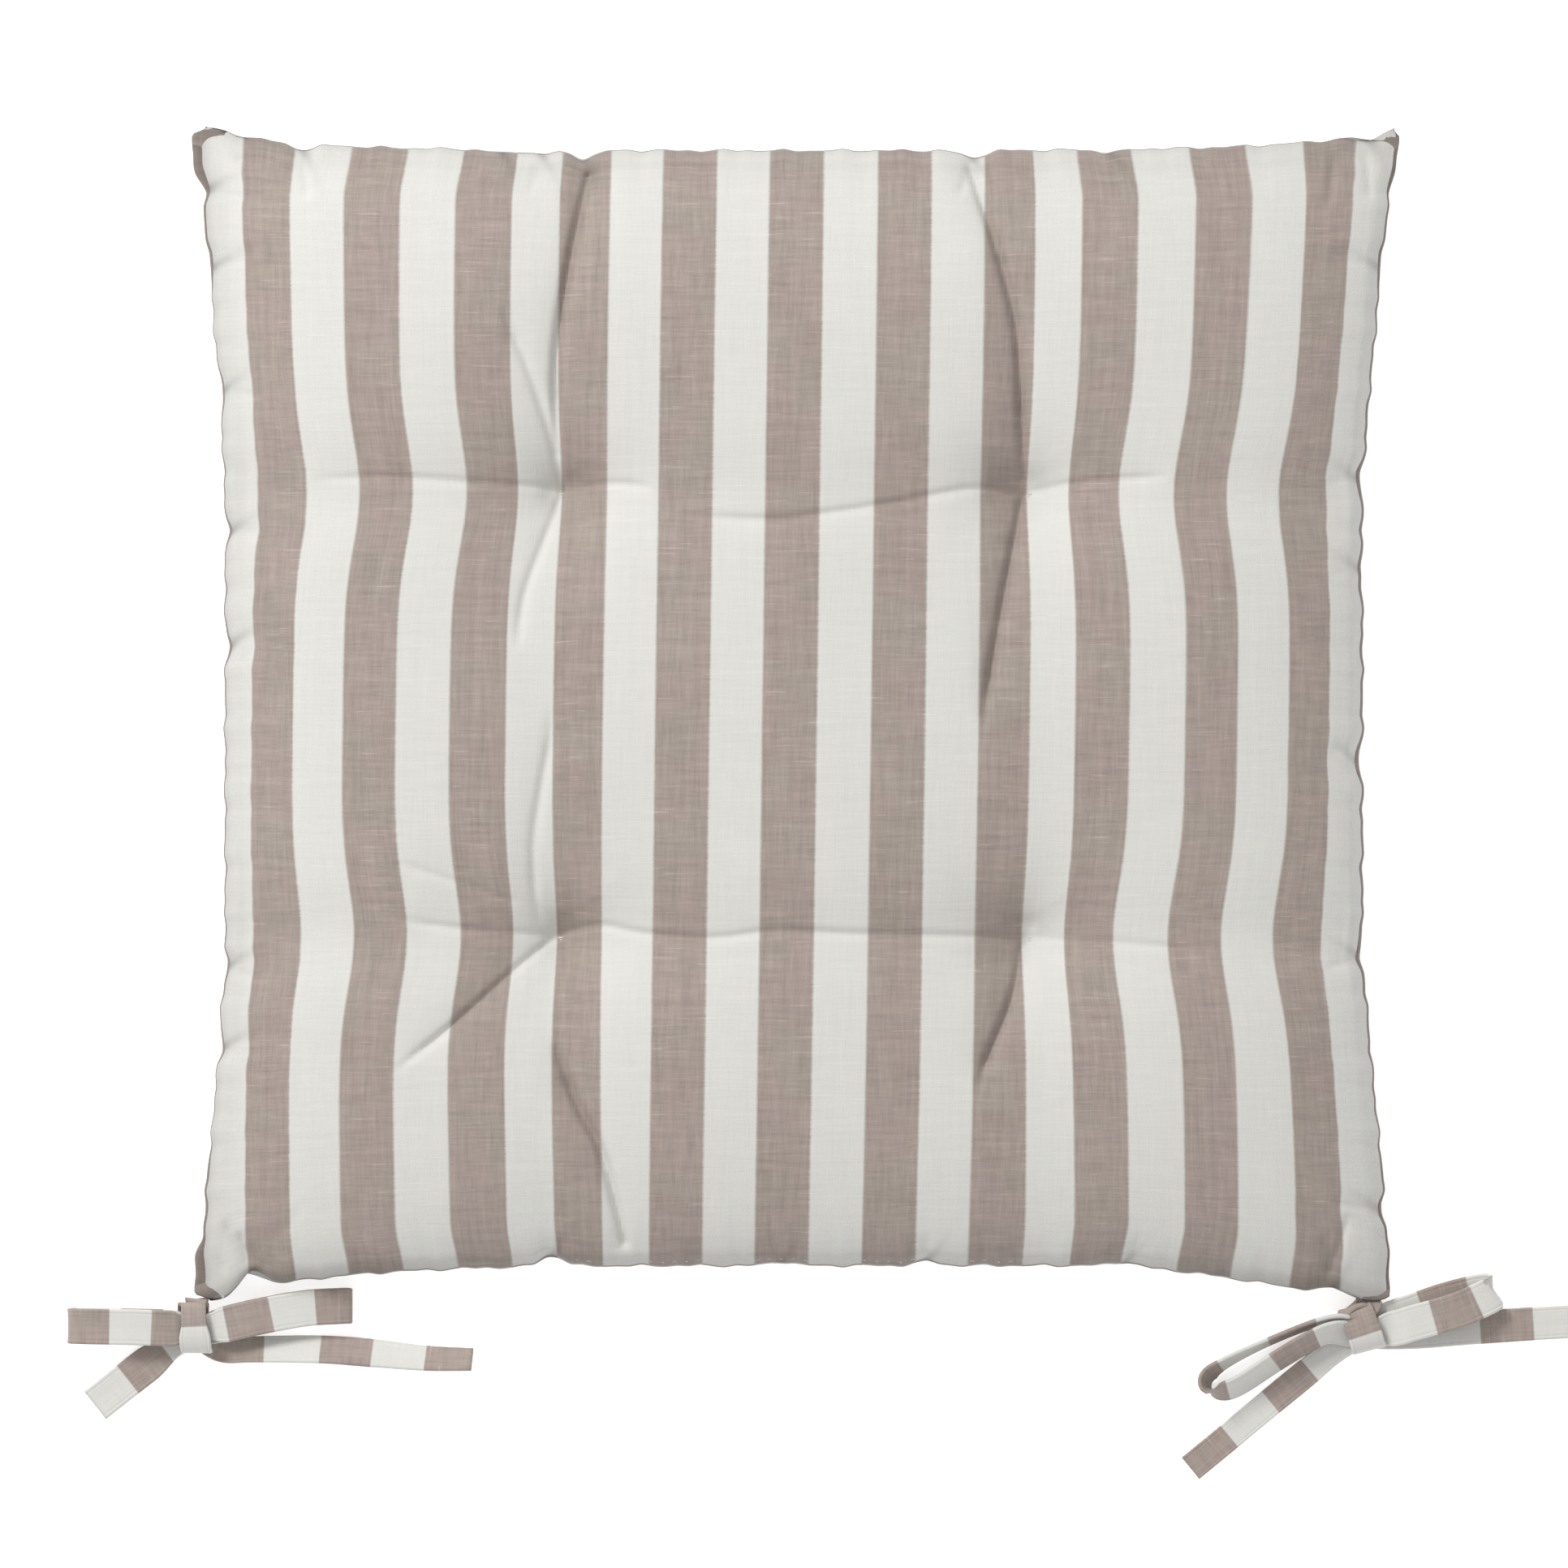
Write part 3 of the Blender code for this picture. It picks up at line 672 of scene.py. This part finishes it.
# Where each corner's tip lies beyond the frame's corner, outwards: (side, end) -> (x, y).
TIP_SHIFTS = {(-1, 1): (0.0022, 0.0064), (1, 1): (0.0050, 0.0060), (-1, -1): (0.0006, 0.0048),
              (1, -1): (0.0004, 0.0050)}
TIP_POWER = 17  # the higher, the shorter the tips
CORNER_ROUNDING = 0.0026  # how far a tip is pulled back, each way
ROUNDING_REACH = 0.003
SIDE_DRAW = (0.32, 1.03)  # shares of the half length between which an edge returns from its full pull
REAR_RIGHT_DRAW = (0.50, 1.02)
NOTCH_WIDTH = 0.0052
RIPPLE = 0.0003  # height of the two small waves along every edge


def notched(place, notches):
    """How far the seam is drawn in at a place along an edge."""
    depth = RIPPLE * np.sin(place * 330.0) + RIPPLE * np.sin(place * 610.0 + 1.3)
    for middle, deep in notches:
        depth = depth + deep * bell((place - middle) / NOTCH_WIDTH)
    return depth


def seam_outline(u, v):
    """Plan position of the seam's point at shares u and v; inside the seam the same rule is shared out."""
    drawn_in = 1 - smooth_step(*SIDE_DRAW, np.abs(v))
    x = u * (HALF_X - np.where(u < 0, LEFT_PULL, RIGHT_PULL) * drawn_in * np.abs(u) ** 3)
    drawn_in = 1 - np.where((v < 0) & (u > 0), smooth_step(*REAR_RIGHT_DRAW, np.abs(u)), np.abs(u) ** 4)
    y = v * (HALF_Y - np.where(v > 0, FRONT_PULL, REAR_PULL) * drawn_in * np.abs(v) ** 3)
    notch = np.where(u < 0, notched(y, LEFT_NOTCHES), -notched(y, RIGHT_NOTCHES))
    x = x + np.abs(u) ** 16 * notch * (1 - np.abs(v) ** 40)
    notch = np.where(v < 0, notched(x, REAR_NOTCHES), -notched(x, FRONT_NOTCHES))
    y = y + np.abs(v) ** 16 * notch * (1 - np.abs(u) ** 40)
    tip = np.abs(u * v) ** TIP_POWER
    for (side, end), (out_x, out_y) in TIP_SHIFTS.items():
        here = tip * (u * side > 0) * (v * end > 0)
        x = x + here * side * out_x
        y = y + here * end * out_y
    from_corner = (1 - np.abs(u)) * HALF_X + (1 - np.abs(v)) * HALF_Y
    rounding = CORNER_ROUNDING * np.exp(-from_corner / ROUNDING_REACH)
    return x - np.sign(u) * rounding, y - np.sign(v) * rounding


def grid_quads(numbers):
    """The faces of a grid of point numbers."""
    corners = (numbers[:-1, :-1], numbers[:-1, 1:], numbers[1:, 1:], numbers[1:, :-1])
    return np.stack(corners, -1).reshape(-1, 4)


def sewn_grids(cells):
    """Point numbers of the two panels sewn edge to edge, which of them are inside the seam, and the faces."""
    top = np.arange((cells + 1) ** 2).reshape(cells + 1, cells + 1)
    inside = np.zeros(top.shape, bool)
    inside[1:-1, 1:-1] = True
    under = top.copy()
    under[inside] = top.size + np.arange(inside.sum())
    return top, under, inside, np.concatenate([grid_quads(top), grid_quads(under)[:, ::-1]])


def shares(cells):
    steps = np.linspace(-1.0, 1.0, cells + 1)
    return np.meshgrid(steps, steps)


def stitched_middle(node):
    low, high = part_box(node)
    return (low + high) / 2


START_HALF = 0.024  # half the thickness that the panels are blown up from
PINCH_REACH = 0.02
TUFT_NAMES = [f"tuft_thread_{row}_{side}" for row in ("front", "rear") for side in ("left", "right")]
TUFTS_X = abs(stitched_middle(TUFT_NAMES[0]).x)
TUFTS_Y = abs(stitched_middle(TUFT_NAMES[0]).y)


def from_tuft(x, y):
    return np.hypot(np.abs(x) - TUFTS_X, np.abs(y) - TUFTS_Y)


def pad_patterns(cells):
    """Start positions of the sewn panels' points, and their places on the flat cut cloth."""
    u, v = shares(cells)
    _, _, inside, _ = sewn_grids(cells)
    x, y = seam_outline(u, v)
    pinch = np.exp(-np.maximum(0.0, from_tuft(x, y) - TUFT_PINCH) / PINCH_REACH)
    upper = START_HALF * crown(u) * crown(v) - (START_HALF - TUFT_TOP) * pinch
    lower = -START_HALF * crown(u) * crown(v) + (START_HALF + TUFT_UNDER) * pinch
    gap = 0.0003
    cut = [u * CUT_X / 2, v * CUT_Y / 2]
    start_rows = [np.stack([x, y, upper], -1).reshape(-1, 3), np.stack([x, y, lower], -1)[inside]]
    cut_rows = [np.stack([*cut, np.where(inside, gap, 0.0)], -1).reshape(-1, 3),
                np.stack([*cut, np.full_like(u, -gap)], -1)[inside]]
    return np.concatenate(start_rows), np.concatenate(cut_rows)


def blown_up(start, cut, faces, seam):
    """Blows the sewn panels up as cloth held at its tufts and seam, and returns where every point ends."""
    mesh = bpy.data.meshes.new("sewn_panels")
    mesh.from_pydata(start.tolist(), [], faces.tolist())
    panels = bpy.data.objects.new("sewn_panels", mesh)
    bpy.context.scene.collection.objects.link(panels)
    panels.shape_key_add(name="start")
    flat_key = panels.shape_key_add(name="cut")
    flat_key.data.foreach_set("co", cut.astype(np.float32).ravel())
    flat_key.value = 0.0
    held = panels.vertex_groups.new(name="held")
    tufted = np.flatnonzero(from_tuft(start[:, 0], start[:, 1]) < TUFT_PINCH)
    held.add(np.union1d(tufted, seam).tolist(), 1.0, "REPLACE")
    cloth = panels.modifiers.new("cloth", "CLOTH")
    settings = cloth.settings
    settings.quality = 6
    settings.mass = 0.25
    settings.tension_stiffness = 25
    settings.compression_stiffness = 25
    settings.shear_stiffness = 8
    settings.bending_stiffness = 0.25
    settings.tension_damping = 10
    settings.compression_damping = 10
    settings.shear_damping = 8
    settings.bending_damping = 0.6
    settings.air_damping = 1.5
    settings.use_pressure = True
    settings.uniform_pressure_force = CLOTH_PRESSURE
    settings.effector_weights.gravity = 0.0
    settings.vertex_group_mass = "held"
    settings.rest_shape_key = flat_key
    cloth.collision_settings.use_collision = False
    cloth.point_cache.frame_start = 1
    cloth.point_cache.frame_end = CLOTH_FRAMES
    for step in range(1, CLOTH_FRAMES + 1):
        bpy.context.scene.frame_set(step)
    settled = panels.evaluated_get(bpy.context.evaluated_depsgraph_get()).data
    points = np.empty(len(settled.vertices) * 3, np.float32)
    settled.vertices.foreach_get("co", points)
    bpy.data.objects.remove(panels)
    bpy.context.scene.frame_set(1)
    return points.reshape(-1, 3).astype(float)


def refined(grid):
    """The grid with a row and a column more between every two, on a smooth curve through the old points."""
    for axis in (0, 1):
        rows = np.moveaxis(grid, axis, 0)
        beyond = np.concatenate([2 * rows[:1] - rows[1:2], rows, 2 * rows[-1:] - rows[-2:-1]])
        between = (9 * (beyond[1:-2] + beyond[2:-1]) - beyond[:-3] - beyond[3:]) / 16
        both = np.empty((2 * len(rows) - 1, *rows.shape[1:]))
        both[::2] = rows
        both[1::2] = between
        grid = np.moveaxis(both, 0, axis)
    return grid


# ------------------------ folds and creases of the pad's top

# Creases: plan points, depth and width, all in millimetres, then the shares of the depth at both ends.
CREASES = [
    ([(-160, 78.6), (-138.6, 79.2), (-114.2, 77.8), (-92.5, 76.5), (-78.9, 75.4)], 2.0, 6.0, 0.2, 1.0),
    ([(-78.9, 74.8), (-62.6, 77), (-48, 76)], 2.2, 6.0, 1.0, 0.1),
    ([(-40, 66.5), (-27.4, 65.6), (-5.7, 65.1), (16, 67.8), (35, 71), (45.8, 73.2), (59.4, 75.4), (76, 74.3)],
     2.4, 6.0, 0.1, 1.0),
    ([(78.4, 74.3), (91.9, 77), (108.2, 78.6), (126, 79)], 2.0, 5.0, 1.0, 0.0),
    ([(-135, -68), (-114.2, -70.8), (-92.5, -72.7), (-78.9, -73.2)], 1.9, 6.0, 0.0, 1.0),
    ([(-78.9, -72.7), (-65.4, -70), (-49.1, -72.7), (-27.4, -74), (-5.7, -71.6), (18.7, -72.7), (43.1, -73.2),
      (76.2, -74)], 2.4, 6.0, 1.0, 1.0),
    ([(76.2, -74), (105.5, -75.4), (140.8, -78.1)], 1.3, 6.0, 1.0, 0.1),
    ([(-96.5, 136.1), (-88.4, 117.2), (-83, 98.2), (-78.9, 76.5)], 2.6, 4.5, 0.0, 1.0),
    ([(-69.0, 180.0), (-74.9, 149.7), (-78.9, 119.9), (-79.5, 87.3)], 6.5, 4.0, 0.9, 0.3),
    ([(-78.7, 75), (-84.7, 56.3), (-89.3, 38.9), (-91, 21)], 2.0, 2.6, 1.0, 0.0),
    ([(-86.6, -68), (-87.2, -58), (-86.3, -41.6), (-83.6, -25), (-81, -10), (-80.4, 2)], 2.2, 2.3, 0.2, 0.1),
    ([(-81.6, -74), (-95.2, -84.9), (-114.2, -103.9), (-130.4, -117.4)], 3.0, 4.0, 1.0, 0.1),
    ([(-133.2, -48.3), (-114.2, -55), (-95.2, -61.8)], 0.9, 4.0, 0.0, 0.6),
    ([(-78.9, -110.6), (-72.1, -129.6), (-65.4, -143.2), (-59.9, -162.2), (-57.2, -175.7)],
     6.0, 4.0, 0.3, 0.8),
    ([(56.7, 187.7), (63.5, 166), (68.9, 147), (72.4, 130.7), (74, 110), (76, 80)], 6.0, 4.0, 1.0, 0.5),
    ([(76.2, 72.4), (68.9, 41.2), (63.5, 8.7), (62.6, -4.9)], 5.5, 4.0, 1.0, 0.1),
    ([(76.2, -76.7), (71.6, -94.4), (63.5, -113.4), (60.7, -124.2)], 5.0, 4.0, 1.0, 0.1),
    ([(-191.8, -168.4), (-185.6, -178.7), (-180, -183.3)], 1.8, 3.5, 0.1, 1.0),
    ([(-184.3, -176.3), (-179.4, -183.9), (-178.7, -189)], 3.4, 2.2, 0.3, 1.0),
    ([(-195, -180.5), (-191.5, -185.7)], 1.0, 2.5, 0.5, 0.5),
    ([(-186, 186), (-178, 176), (-172, 168)], 1.2, 3.0, 1.0, 0.0),
    ([(181, 190), (178, 178), (176, 168)], 1.4, 3.0, 1.0, 0.0),
    ([(178, -186), (181, -176), (184, -166)], 1.6, 3.4, 1.0, 0.0),
]
NOTCH_CREASE = 16.0  # length of the crease that runs in from each notch, in millimetres
ROW_VALLEY = 0.0018  # depth of the broad valleys along and across the rows of tufts
COLUMN_VALLEY = 0.0012
VALLEY_SPREAD = 0.014
CREASE_CORE = 0.0013  # half width of the sharp middle of a crease
CORE_DEPTH = 0.55  # of that middle, as a share of the crease's depth
# The cloth lies unevenly: plan place across, then how far the stripe there is drawn towards +X, in
# millimetres.
STRIPE_DRIFT = [(-185, -3.9), (-166, -4.3), (-150, -2.5), (-133, -1.2), (-115, 0.2), (-97, 1.6), (-81, -0.6),
                (-65, -2.3), (-46, -2.2), (-28, -1.6), (-10, -1.3), (9, -0.6), (27, 0.2), (45, 0.7),
                (63, 1.2), (78, 0.1), (93, -2.8), (111, -2.2), (130, 0.1), (148, 1.3), (166, 3.8), (185, 2.8)]
STRIPE_LEAN = 0.0133  # towards +X, for each metre towards the front
# More of the same towards the rear edge.
REAR_DRIFT = [(-190, 7.2), (-172, 5.6), (-152, 4.2), (-134, 3.6), (-81, 2.9), (-65, 2.2), (-49, 0.0),
              (57, -0.8), (93, 2.4), (130, 1.0), (147, 0.3), (185, 1.0)]
REAR_START = -0.070  # where that begins, and where it is full
REAR_FULL = -0.200
# Shade painted into the cloth beside the seam, which stands for gathers too small to be shaped: its share of
# the colour at each side's seam, fading inwards.
RIM_SHADES = {"left": 0.30, "right": 0.08, "front": 0.27, "rear": 0.30, "under": 0.50}
RIM_FADE = 0.006
PUCKER_SHADE = 0.30  # painted shade added along the pucker that runs in from each notch of the seam
PUCKER_WIDTH = 0.0016
PUCKER_LEAN = 0.5
BOW_SHIFT = 0.0042  # how far the outer stripes swing from between the rows to the rows
BOW_SPREAD = 0.025
CREASE_ROUND = 0.0012  # how softly a crease's two slopes meet
TOP_ROOM = 0.6  # share of the pad's thickness that creases can take


def line_distance(x, y, points):
    """Distance to a line of plan points, and the share of its length at the nearest place."""
    ends = points * MM
    lengths = np.hypot(*np.diff(ends, axis=0).T)
    nearest = np.full_like(x, np.inf)
    share = np.zeros_like(x)
    passed = 0.0
    for (ax, ay), (bx, by), length in zip(ends, ends[1:], lengths):
        t = np.clip(((x - ax) * (bx - ax) + (y - ay) * (by - ay)) / length**2, 0.0, 1.0)
        away = np.hypot(x - lerp(ax, bx, t), y - lerp(ay, by, t))
        closer = away < nearest
        nearest = np.where(closer, away, nearest)
        share = np.where(closer, (passed + t * length) / lengths.sum(), share)
        passed += length
    return nearest, share


def notch_creases():
    """A short crease that runs inwards from each notch of the seam."""
    made = []
    sides = ((LEFT_NOTCHES, True, -1), (RIGHT_NOTCHES, True, 1), (REAR_NOTCHES, False, -1),
             (FRONT_NOTCHES, False, 1))
    for notches, along_y, sign in sides:
        for i, (place, deep) in enumerate(notches):
            edge = sign * ((HALF_X if along_y else HALF_Y) - 0.006) / MM
            lean = 5.0 * math.sin(2.4 * i + sign)
            inner = edge - sign * NOTCH_CREASE
            ends = [(edge, place / MM), (inner, place / MM + lean)]
            line = ends if along_y else [(y, x) for x, y in ends]
            made.append((line, 0.35 * deep / MM, 3.0, 1.0, 0.0))
    return made


def folds(x, y):
    """Depth of the top's valleys and creases at plan places."""
    rows = bell((np.abs(y) - TUFTS_Y) / VALLEY_SPREAD)
    columns = bell((np.abs(x) - TUFTS_X) / VALLEY_SPREAD)
    depth = np.maximum(ROW_VALLEY * rows, COLUMN_VALLEY * columns)
    for line, deep, width, start, end in CREASES + notch_creases():
        away, share = line_distance(x, y, smooth_curve(line, 4))
        here = deep * MM * np.interp(share, [0.0, 0.2, 0.8, 1.0], [start, 1.0, 1.0, end])
        rounded = np.sqrt(away**2 + CREASE_ROUND**2) - CREASE_ROUND
        slope = (1 - CORE_DEPTH) * np.exp(-rounded / (width * MM))
        depth = depth + here * (slope + CORE_DEPTH * bell(away / CREASE_CORE))
    return depth


def bowed(x, y):
    """How far the cloth is drawn sideways, towards the middle along the rows of tufts."""
    rows = bell((np.abs(y) - TUFTS_Y) / BOW_SPREAD)
    outer = smooth_step(0.055, 0.110, np.abs(x)) * (1 - 0.5 * smooth_step(0.155, 0.180, np.abs(x)))
    return -np.sign(x) * BOW_SHIFT * outer * (rows - 0.5)


PRESS_ROUND = 0.0022  # how softly the underside turns up from the surface


def lie_down(grid):
    """Puts a blown panel at its height, lets the corner tips droop and presses its underside flat."""
    x, y, z = np.moveaxis(grid, -1, 0)
    corner = np.minimum(np.abs(x / HALF_X * y / HALF_Y) ** 4, 1.0)
    z = z + lerp(SEAM_MID_HEIGHT, SEAM_CORNER_HEIGHT, corner)
    z = (z + np.sqrt(z * z + PRESS_ROUND * PRESS_ROUND)) / 2
    return np.stack([x, y, z], -1)


def from_seam(u, v):
    """About how far a place at shares u and v is from the seam."""
    return np.minimum((1 - np.abs(u)) * HALF_X, (1 - np.abs(v)) * HALF_Y)


def crease_top(grid, under_grid, u, v):
    """Folds the top panel, which never sinks to the under panel."""
    x, y, z = np.moveaxis(grid, -1, 0)
    inward = from_seam(u, v)
    room = TOP_ROOM * np.maximum(0.0001, z - under_grid[..., 2])
    z = z - room * (1 - np.exp(-folds(x, y) * smooth_step(0.0, 0.008, inward) / room))
    x = x + bowed(x, y) * smooth_step(0.0, 0.020, inward)
    return np.stack([x, y, z], -1)


# How far the underside stands out beyond the seam: along the sides, towards the corners and at their ears.
LEFT_PROUD = 0.0006
RIGHT_PROUD = 0.0010
LEFT_CORNER_PROUD = 0.0009
RIGHT_CORNER_PROUD = 0.0003
LEFT_EAR = 0.0032
FRONT_RIGHT_EAR = 0.0010
REAR_RIGHT_EAR = 0.0002
END_PROUD = 0.0009
SIDE_SWELL_REACH = 0.013
END_SWELL_REACH = 0.004


def swell_under(grid, u, v):
    """The underside stands out beyond the seam along the sides, most at the ears of the corners."""
    x, y, z = np.moveaxis(grid, -1, 0)
    inward_x = (1 - np.abs(u)) * HALF_X
    inward_y = (1 - np.abs(v)) * HALF_Y

    def push(inward, proud, reach):
        return (inward + proud * (1 - np.exp(-inward / 0.002))) * bell(inward / reach)

    ear = smooth_step(0.895, 0.935, np.abs(v)) * smooth_step(1.0, 0.985, np.abs(v))
    ear *= np.where(u < 0, LEFT_EAR, np.where(v > 0, FRONT_RIGHT_EAR, REAR_RIGHT_EAR))
    towards_ear = smooth_step(0.72, 0.80, np.abs(v))
    left = LEFT_PROUD + LEFT_CORNER_PROUD * towards_ear
    right = RIGHT_PROUD + RIGHT_CORNER_PROUD * towards_ear
    proud = ear + np.where(u < 0, left, right)
    x = x + np.sign(u) * push(inward_x, proud, SIDE_SWELL_REACH) * smooth_step(0.0, 0.0015, inward_y)
    y = y + np.sign(v) * push(inward_y, END_PROUD, END_SWELL_REACH) * smooth_step(0.0, 0.012, inward_x)
    return np.stack([x, y, z], -1)


# ------------------------ the pad's pieces


def pad_grids():
    """The finished top and under panels as grids of points, and the same places on the cut cloth."""
    top, under, _, faces = sewn_grids(CLOTH_CELLS)
    start, cut = pad_patterns(CLOTH_CELLS)
    seam = np.concatenate([top[0], top[-1], top[:, 0], top[:, -1]])
    points = blown_up(start, cut, faces, seam)
    top_grid, under_grid = points[top], points[under]
    for _ in range(REFINEMENTS):
        top_grid = refined(top_grid)
        under_grid = refined(under_grid)
    u, v = shares(len(top_grid) - 1)
    under_grid = lie_down(under_grid)
    top_grid = crease_top(lie_down(top_grid), under_grid, u, v)
    under_grid = swell_under(under_grid, u, v)
    return top_grid, under_grid, u, v


def rim_shade(u, v):
    """How much painted shade darkens the top panel at shares u and v, near its seam."""
    sides = {
        "left": ((1 + u) * HALF_X, v * HALF_Y, LEFT_NOTCHES),
        "right": ((1 - u) * HALF_X, v * HALF_Y, RIGHT_NOTCHES),
        "front": ((1 - v) * HALF_Y, u * HALF_X, FRONT_NOTCHES),
        "rear": ((1 + v) * HALF_Y, u * HALF_X, REAR_NOTCHES),
    }
    shades = []
    for side, (inward, place, notches) in sides.items():
        shade = RIM_SHADES[side]
        for middle, _ in notches:
            away = place - middle - PUCKER_LEAN * inward
            shade = shade + PUCKER_SHADE * bell(away / PUCKER_WIDTH)
        shades.append(shade * np.exp(-inward / RIM_FADE))
    return np.maximum.reduce(shades)


def make_cover(top_grid, under_grid, u, v):
    _, _, inside, faces = sewn_grids(len(u) - 1)
    points = np.concatenate([top_grid.reshape(-1, 3), under_grid[inside]])
    cover = object_from("pad_cover", points, faces, pad_cloth())
    x, y, _ = np.moveaxis(top_grid, -1, 0)
    drift = np.interp(x / MM, *np.array(STRIPE_DRIFT).T)
    drift = drift + np.interp(x / MM, *np.array(REAR_DRIFT).T) * smooth_step(REAR_START, REAR_FULL, y)
    across = u * CUT_X / 2 - drift * MM - STRIPE_LEAN * y
    along = v * CUT_Y / 2
    # The third value is the share of the colour that the painted shade beside the seam leaves.
    place = np.stack([across, along, 1 - rim_shade(u, v)], -1)
    # The under panel is cut half a stripe over, so brown meets white along the side seams, and painted shade
    # darkens it beside the seam.
    under_light = 1 - RIM_SHADES["under"] * np.exp(-from_seam(u, v) / RIM_FADE)
    under_place = np.stack([across + STRIPE_PITCH / 2, along, under_light], -1)
    corners = faces.reshape(2, -1)
    top_number = np.concatenate([np.arange(u.size), np.flatnonzero(inside)])
    add_vectors(cover, "cut", "CORNER", np.concatenate([
        place.reshape(-1, 3)[top_number[corners[0]]], under_place.reshape(-1, 3)[top_number[corners[1]]],
    ]))
    belongs(cover, "pad", "striped_cotton", "top_panel", "bottom_panel")


def lowest_nearby(heights, reach):
    """The lowest height within reach cells of each point."""
    padded = np.pad(heights, reach, mode="edge")
    return np.lib.stride_tricks.sliding_window_view(padded, (2 * reach + 1, 2 * reach + 1)).min((2, 3))


def make_filling(top_grid, under_grid):
    """The fibre body inside, a little smaller than the cover."""
    margin = len(top_grid) // 16
    step = len(top_grid) // 100
    keep = slice(margin, len(top_grid) - margin, step)
    plan = (top_grid[keep, keep, :2] + under_grid[keep, keep, :2]) / 2
    high = lowest_nearby(top_grid[..., 2], step + 1)[keep, keep]
    low = -lowest_nearby(-under_grid[..., 2], step + 1)[keep, keep]
    middle = (high + low) / 2
    half = np.maximum(0.0005, (high - low) / 2 - 0.0010)
    upper = np.concatenate([plan, (middle + half)[..., None]], -1).reshape(-1, 3)
    lower = np.concatenate([plan, (middle - half)[..., None]], -1).reshape(-1, 3)
    n = len(plan)
    top = np.arange(n * n).reshape(n, n)
    quads = grid_quads(top)
    rim = np.concatenate([top[0, :-1], top[:-1, -1], top[-1, :0:-1], top[:0:-1, 0]])
    following = np.roll(rim, -1)
    walls = np.stack([rim + n * n, following + n * n, following, rim], -1)
    faces = np.concatenate([quads, quads[:, ::-1] + n * n, walls])
    filling = object_from("fibre_body", np.concatenate([upper, lower]), faces, fibre_material())
    belongs(filling, "pad", "polyester_fibre", "fibre_filling")


STRAND_HALF = 0.0013  # half the length of a tuft's upper strands
STRAND_DIP = 0.0014
STRAND_APART = 0.0004
TUFT_KNOT_RADIUS = 0.0009
TUFT_KNOT_DROP = 0.0006
TUFT_KNOT_RISE = 0.00008  # of its coil, per radian


def nearest_point(grid, centre):
    """The grid's point nearest to a place in plan."""
    away = np.hypot(grid[..., 0] - centre.x, grid[..., 1] - centre.y)
    return grid[np.unravel_index(away.argmin(), away.shape)]


def tuft_lines(x, y, high, low):
    """A tuft's threads: two short strands on top, the thread through the pad, and a small knot underneath."""
    lines = []
    for side in (-STRAND_APART, STRAND_APART):
        bend = np.linspace(-1.0, 1.0, 9)
        lines.append([(x + t * STRAND_HALF, y + side, high - 0.0001 - STRAND_DIP * t * t) for t in bend])
    knot = low - TUFT_KNOT_DROP
    lines.append([(x, y, high - 0.0005), (x, y, (high + low) / 2), (x, y, knot)])
    coil = []
    for angle in np.linspace(0.0, 6 * math.pi, 40):
        coil.append((x + TUFT_KNOT_RADIUS * math.cos(angle), y + TUFT_KNOT_RADIUS * math.sin(angle),
                     knot - TUFT_KNOT_RISE * angle))
    lines.append(coil)
    drop = low - 0.0020
    for sign in (-1, 1):
        lines.append([(x, y, drop), (x + sign * 0.002, y + 0.0012, drop - 0.0008),
                      (x + sign * 0.0045, y + 0.0034, drop - 0.0014)])
    return lines


def make_tufts(top_grid, under_grid, material):
    for name in TUFT_NAMES:
        centre = stitched_middle(name)
        x, y, high = nearest_point(top_grid, centre)
        low = nearest_point(under_grid, centre)[2]
        lines = tuft_lines(x, y, high, low)
        tuft = thread_object(name.replace("thread", "stitch"), lines, THREAD_RADIUS, material)
        belongs(tuft, "pad", "cotton_thread", name)


OPENING_HALF = 0.075  # half the length of the hand-closed opening in the rear edge
STITCH_PITCH = 0.004
SEAM_INSET = 0.012  # of the machine seam, as a share of the panel


def make_seams(top_grid, under_grid, material):
    """The machine seam inside the edge, and the whip stitches that close the opening in the rear edge."""
    n = len(top_grid)
    ring = round(n * SEAM_INSET)
    rows = top_grid[ring:n - ring, ring:n - ring] - (0.0, 0.0, 0.0009)
    rear = rows[0]
    loop = [rear[rear[:, 0] > OPENING_HALF + 0.0015], rows[1:, -1], rows[-1, -2::-1], rows[-2:0:-1, 0],
            rear[rear[:, 0] < -OPENING_HALF - 0.0015]]
    line = np.concatenate(loop)[::2]
    line[::2, 2] += 0.0002
    line[1::2, 2] -= 0.0002
    seam = thread_object("machine_seam", [line.tolist()], 0.0002, material)
    belongs(seam, "pad", "cotton_thread", "seam_thread")

    edge, above, below = top_grid[0], top_grid[2], under_grid[2]
    whip = []
    for x in np.arange(-OPENING_HALF + 0.002, OPENING_HALF - 0.002, STITCH_PITCH):
        i = np.abs(edge[:, 0] - x).argmin()
        j = np.abs(edge[:, 0] - x - 0.3 * STITCH_PITCH).argmin()
        k = np.abs(edge[:, 0] - x - 0.6 * STITCH_PITCH).argmin()
        whip += [above[i], edge[j] + (0.0, 0.0005, 0.0), below[k]]
    closing = thread_object("whip_stitches", [smooth_curve(whip, 4).tolist()], 0.00015, material)
    belongs(closing, "pad", "cotton_thread", "closing_stitch")


def make_pad():
    top_grid, under_grid, u, v = pad_grids()
    thread = thread_material()
    make_cover(top_grid, under_grid, u, v)
    make_filling(top_grid, under_grid)
    make_tufts(top_grid, under_grid, thread)
    make_seams(top_grid, under_grid, thread)


make_camera()
make_studio()
tie_material = tape_cloth()
left_knot, right_knot = make_knots(tie_material)
make_left_ties(tie_material)
make_right_ties(tie_material)
make_pad()
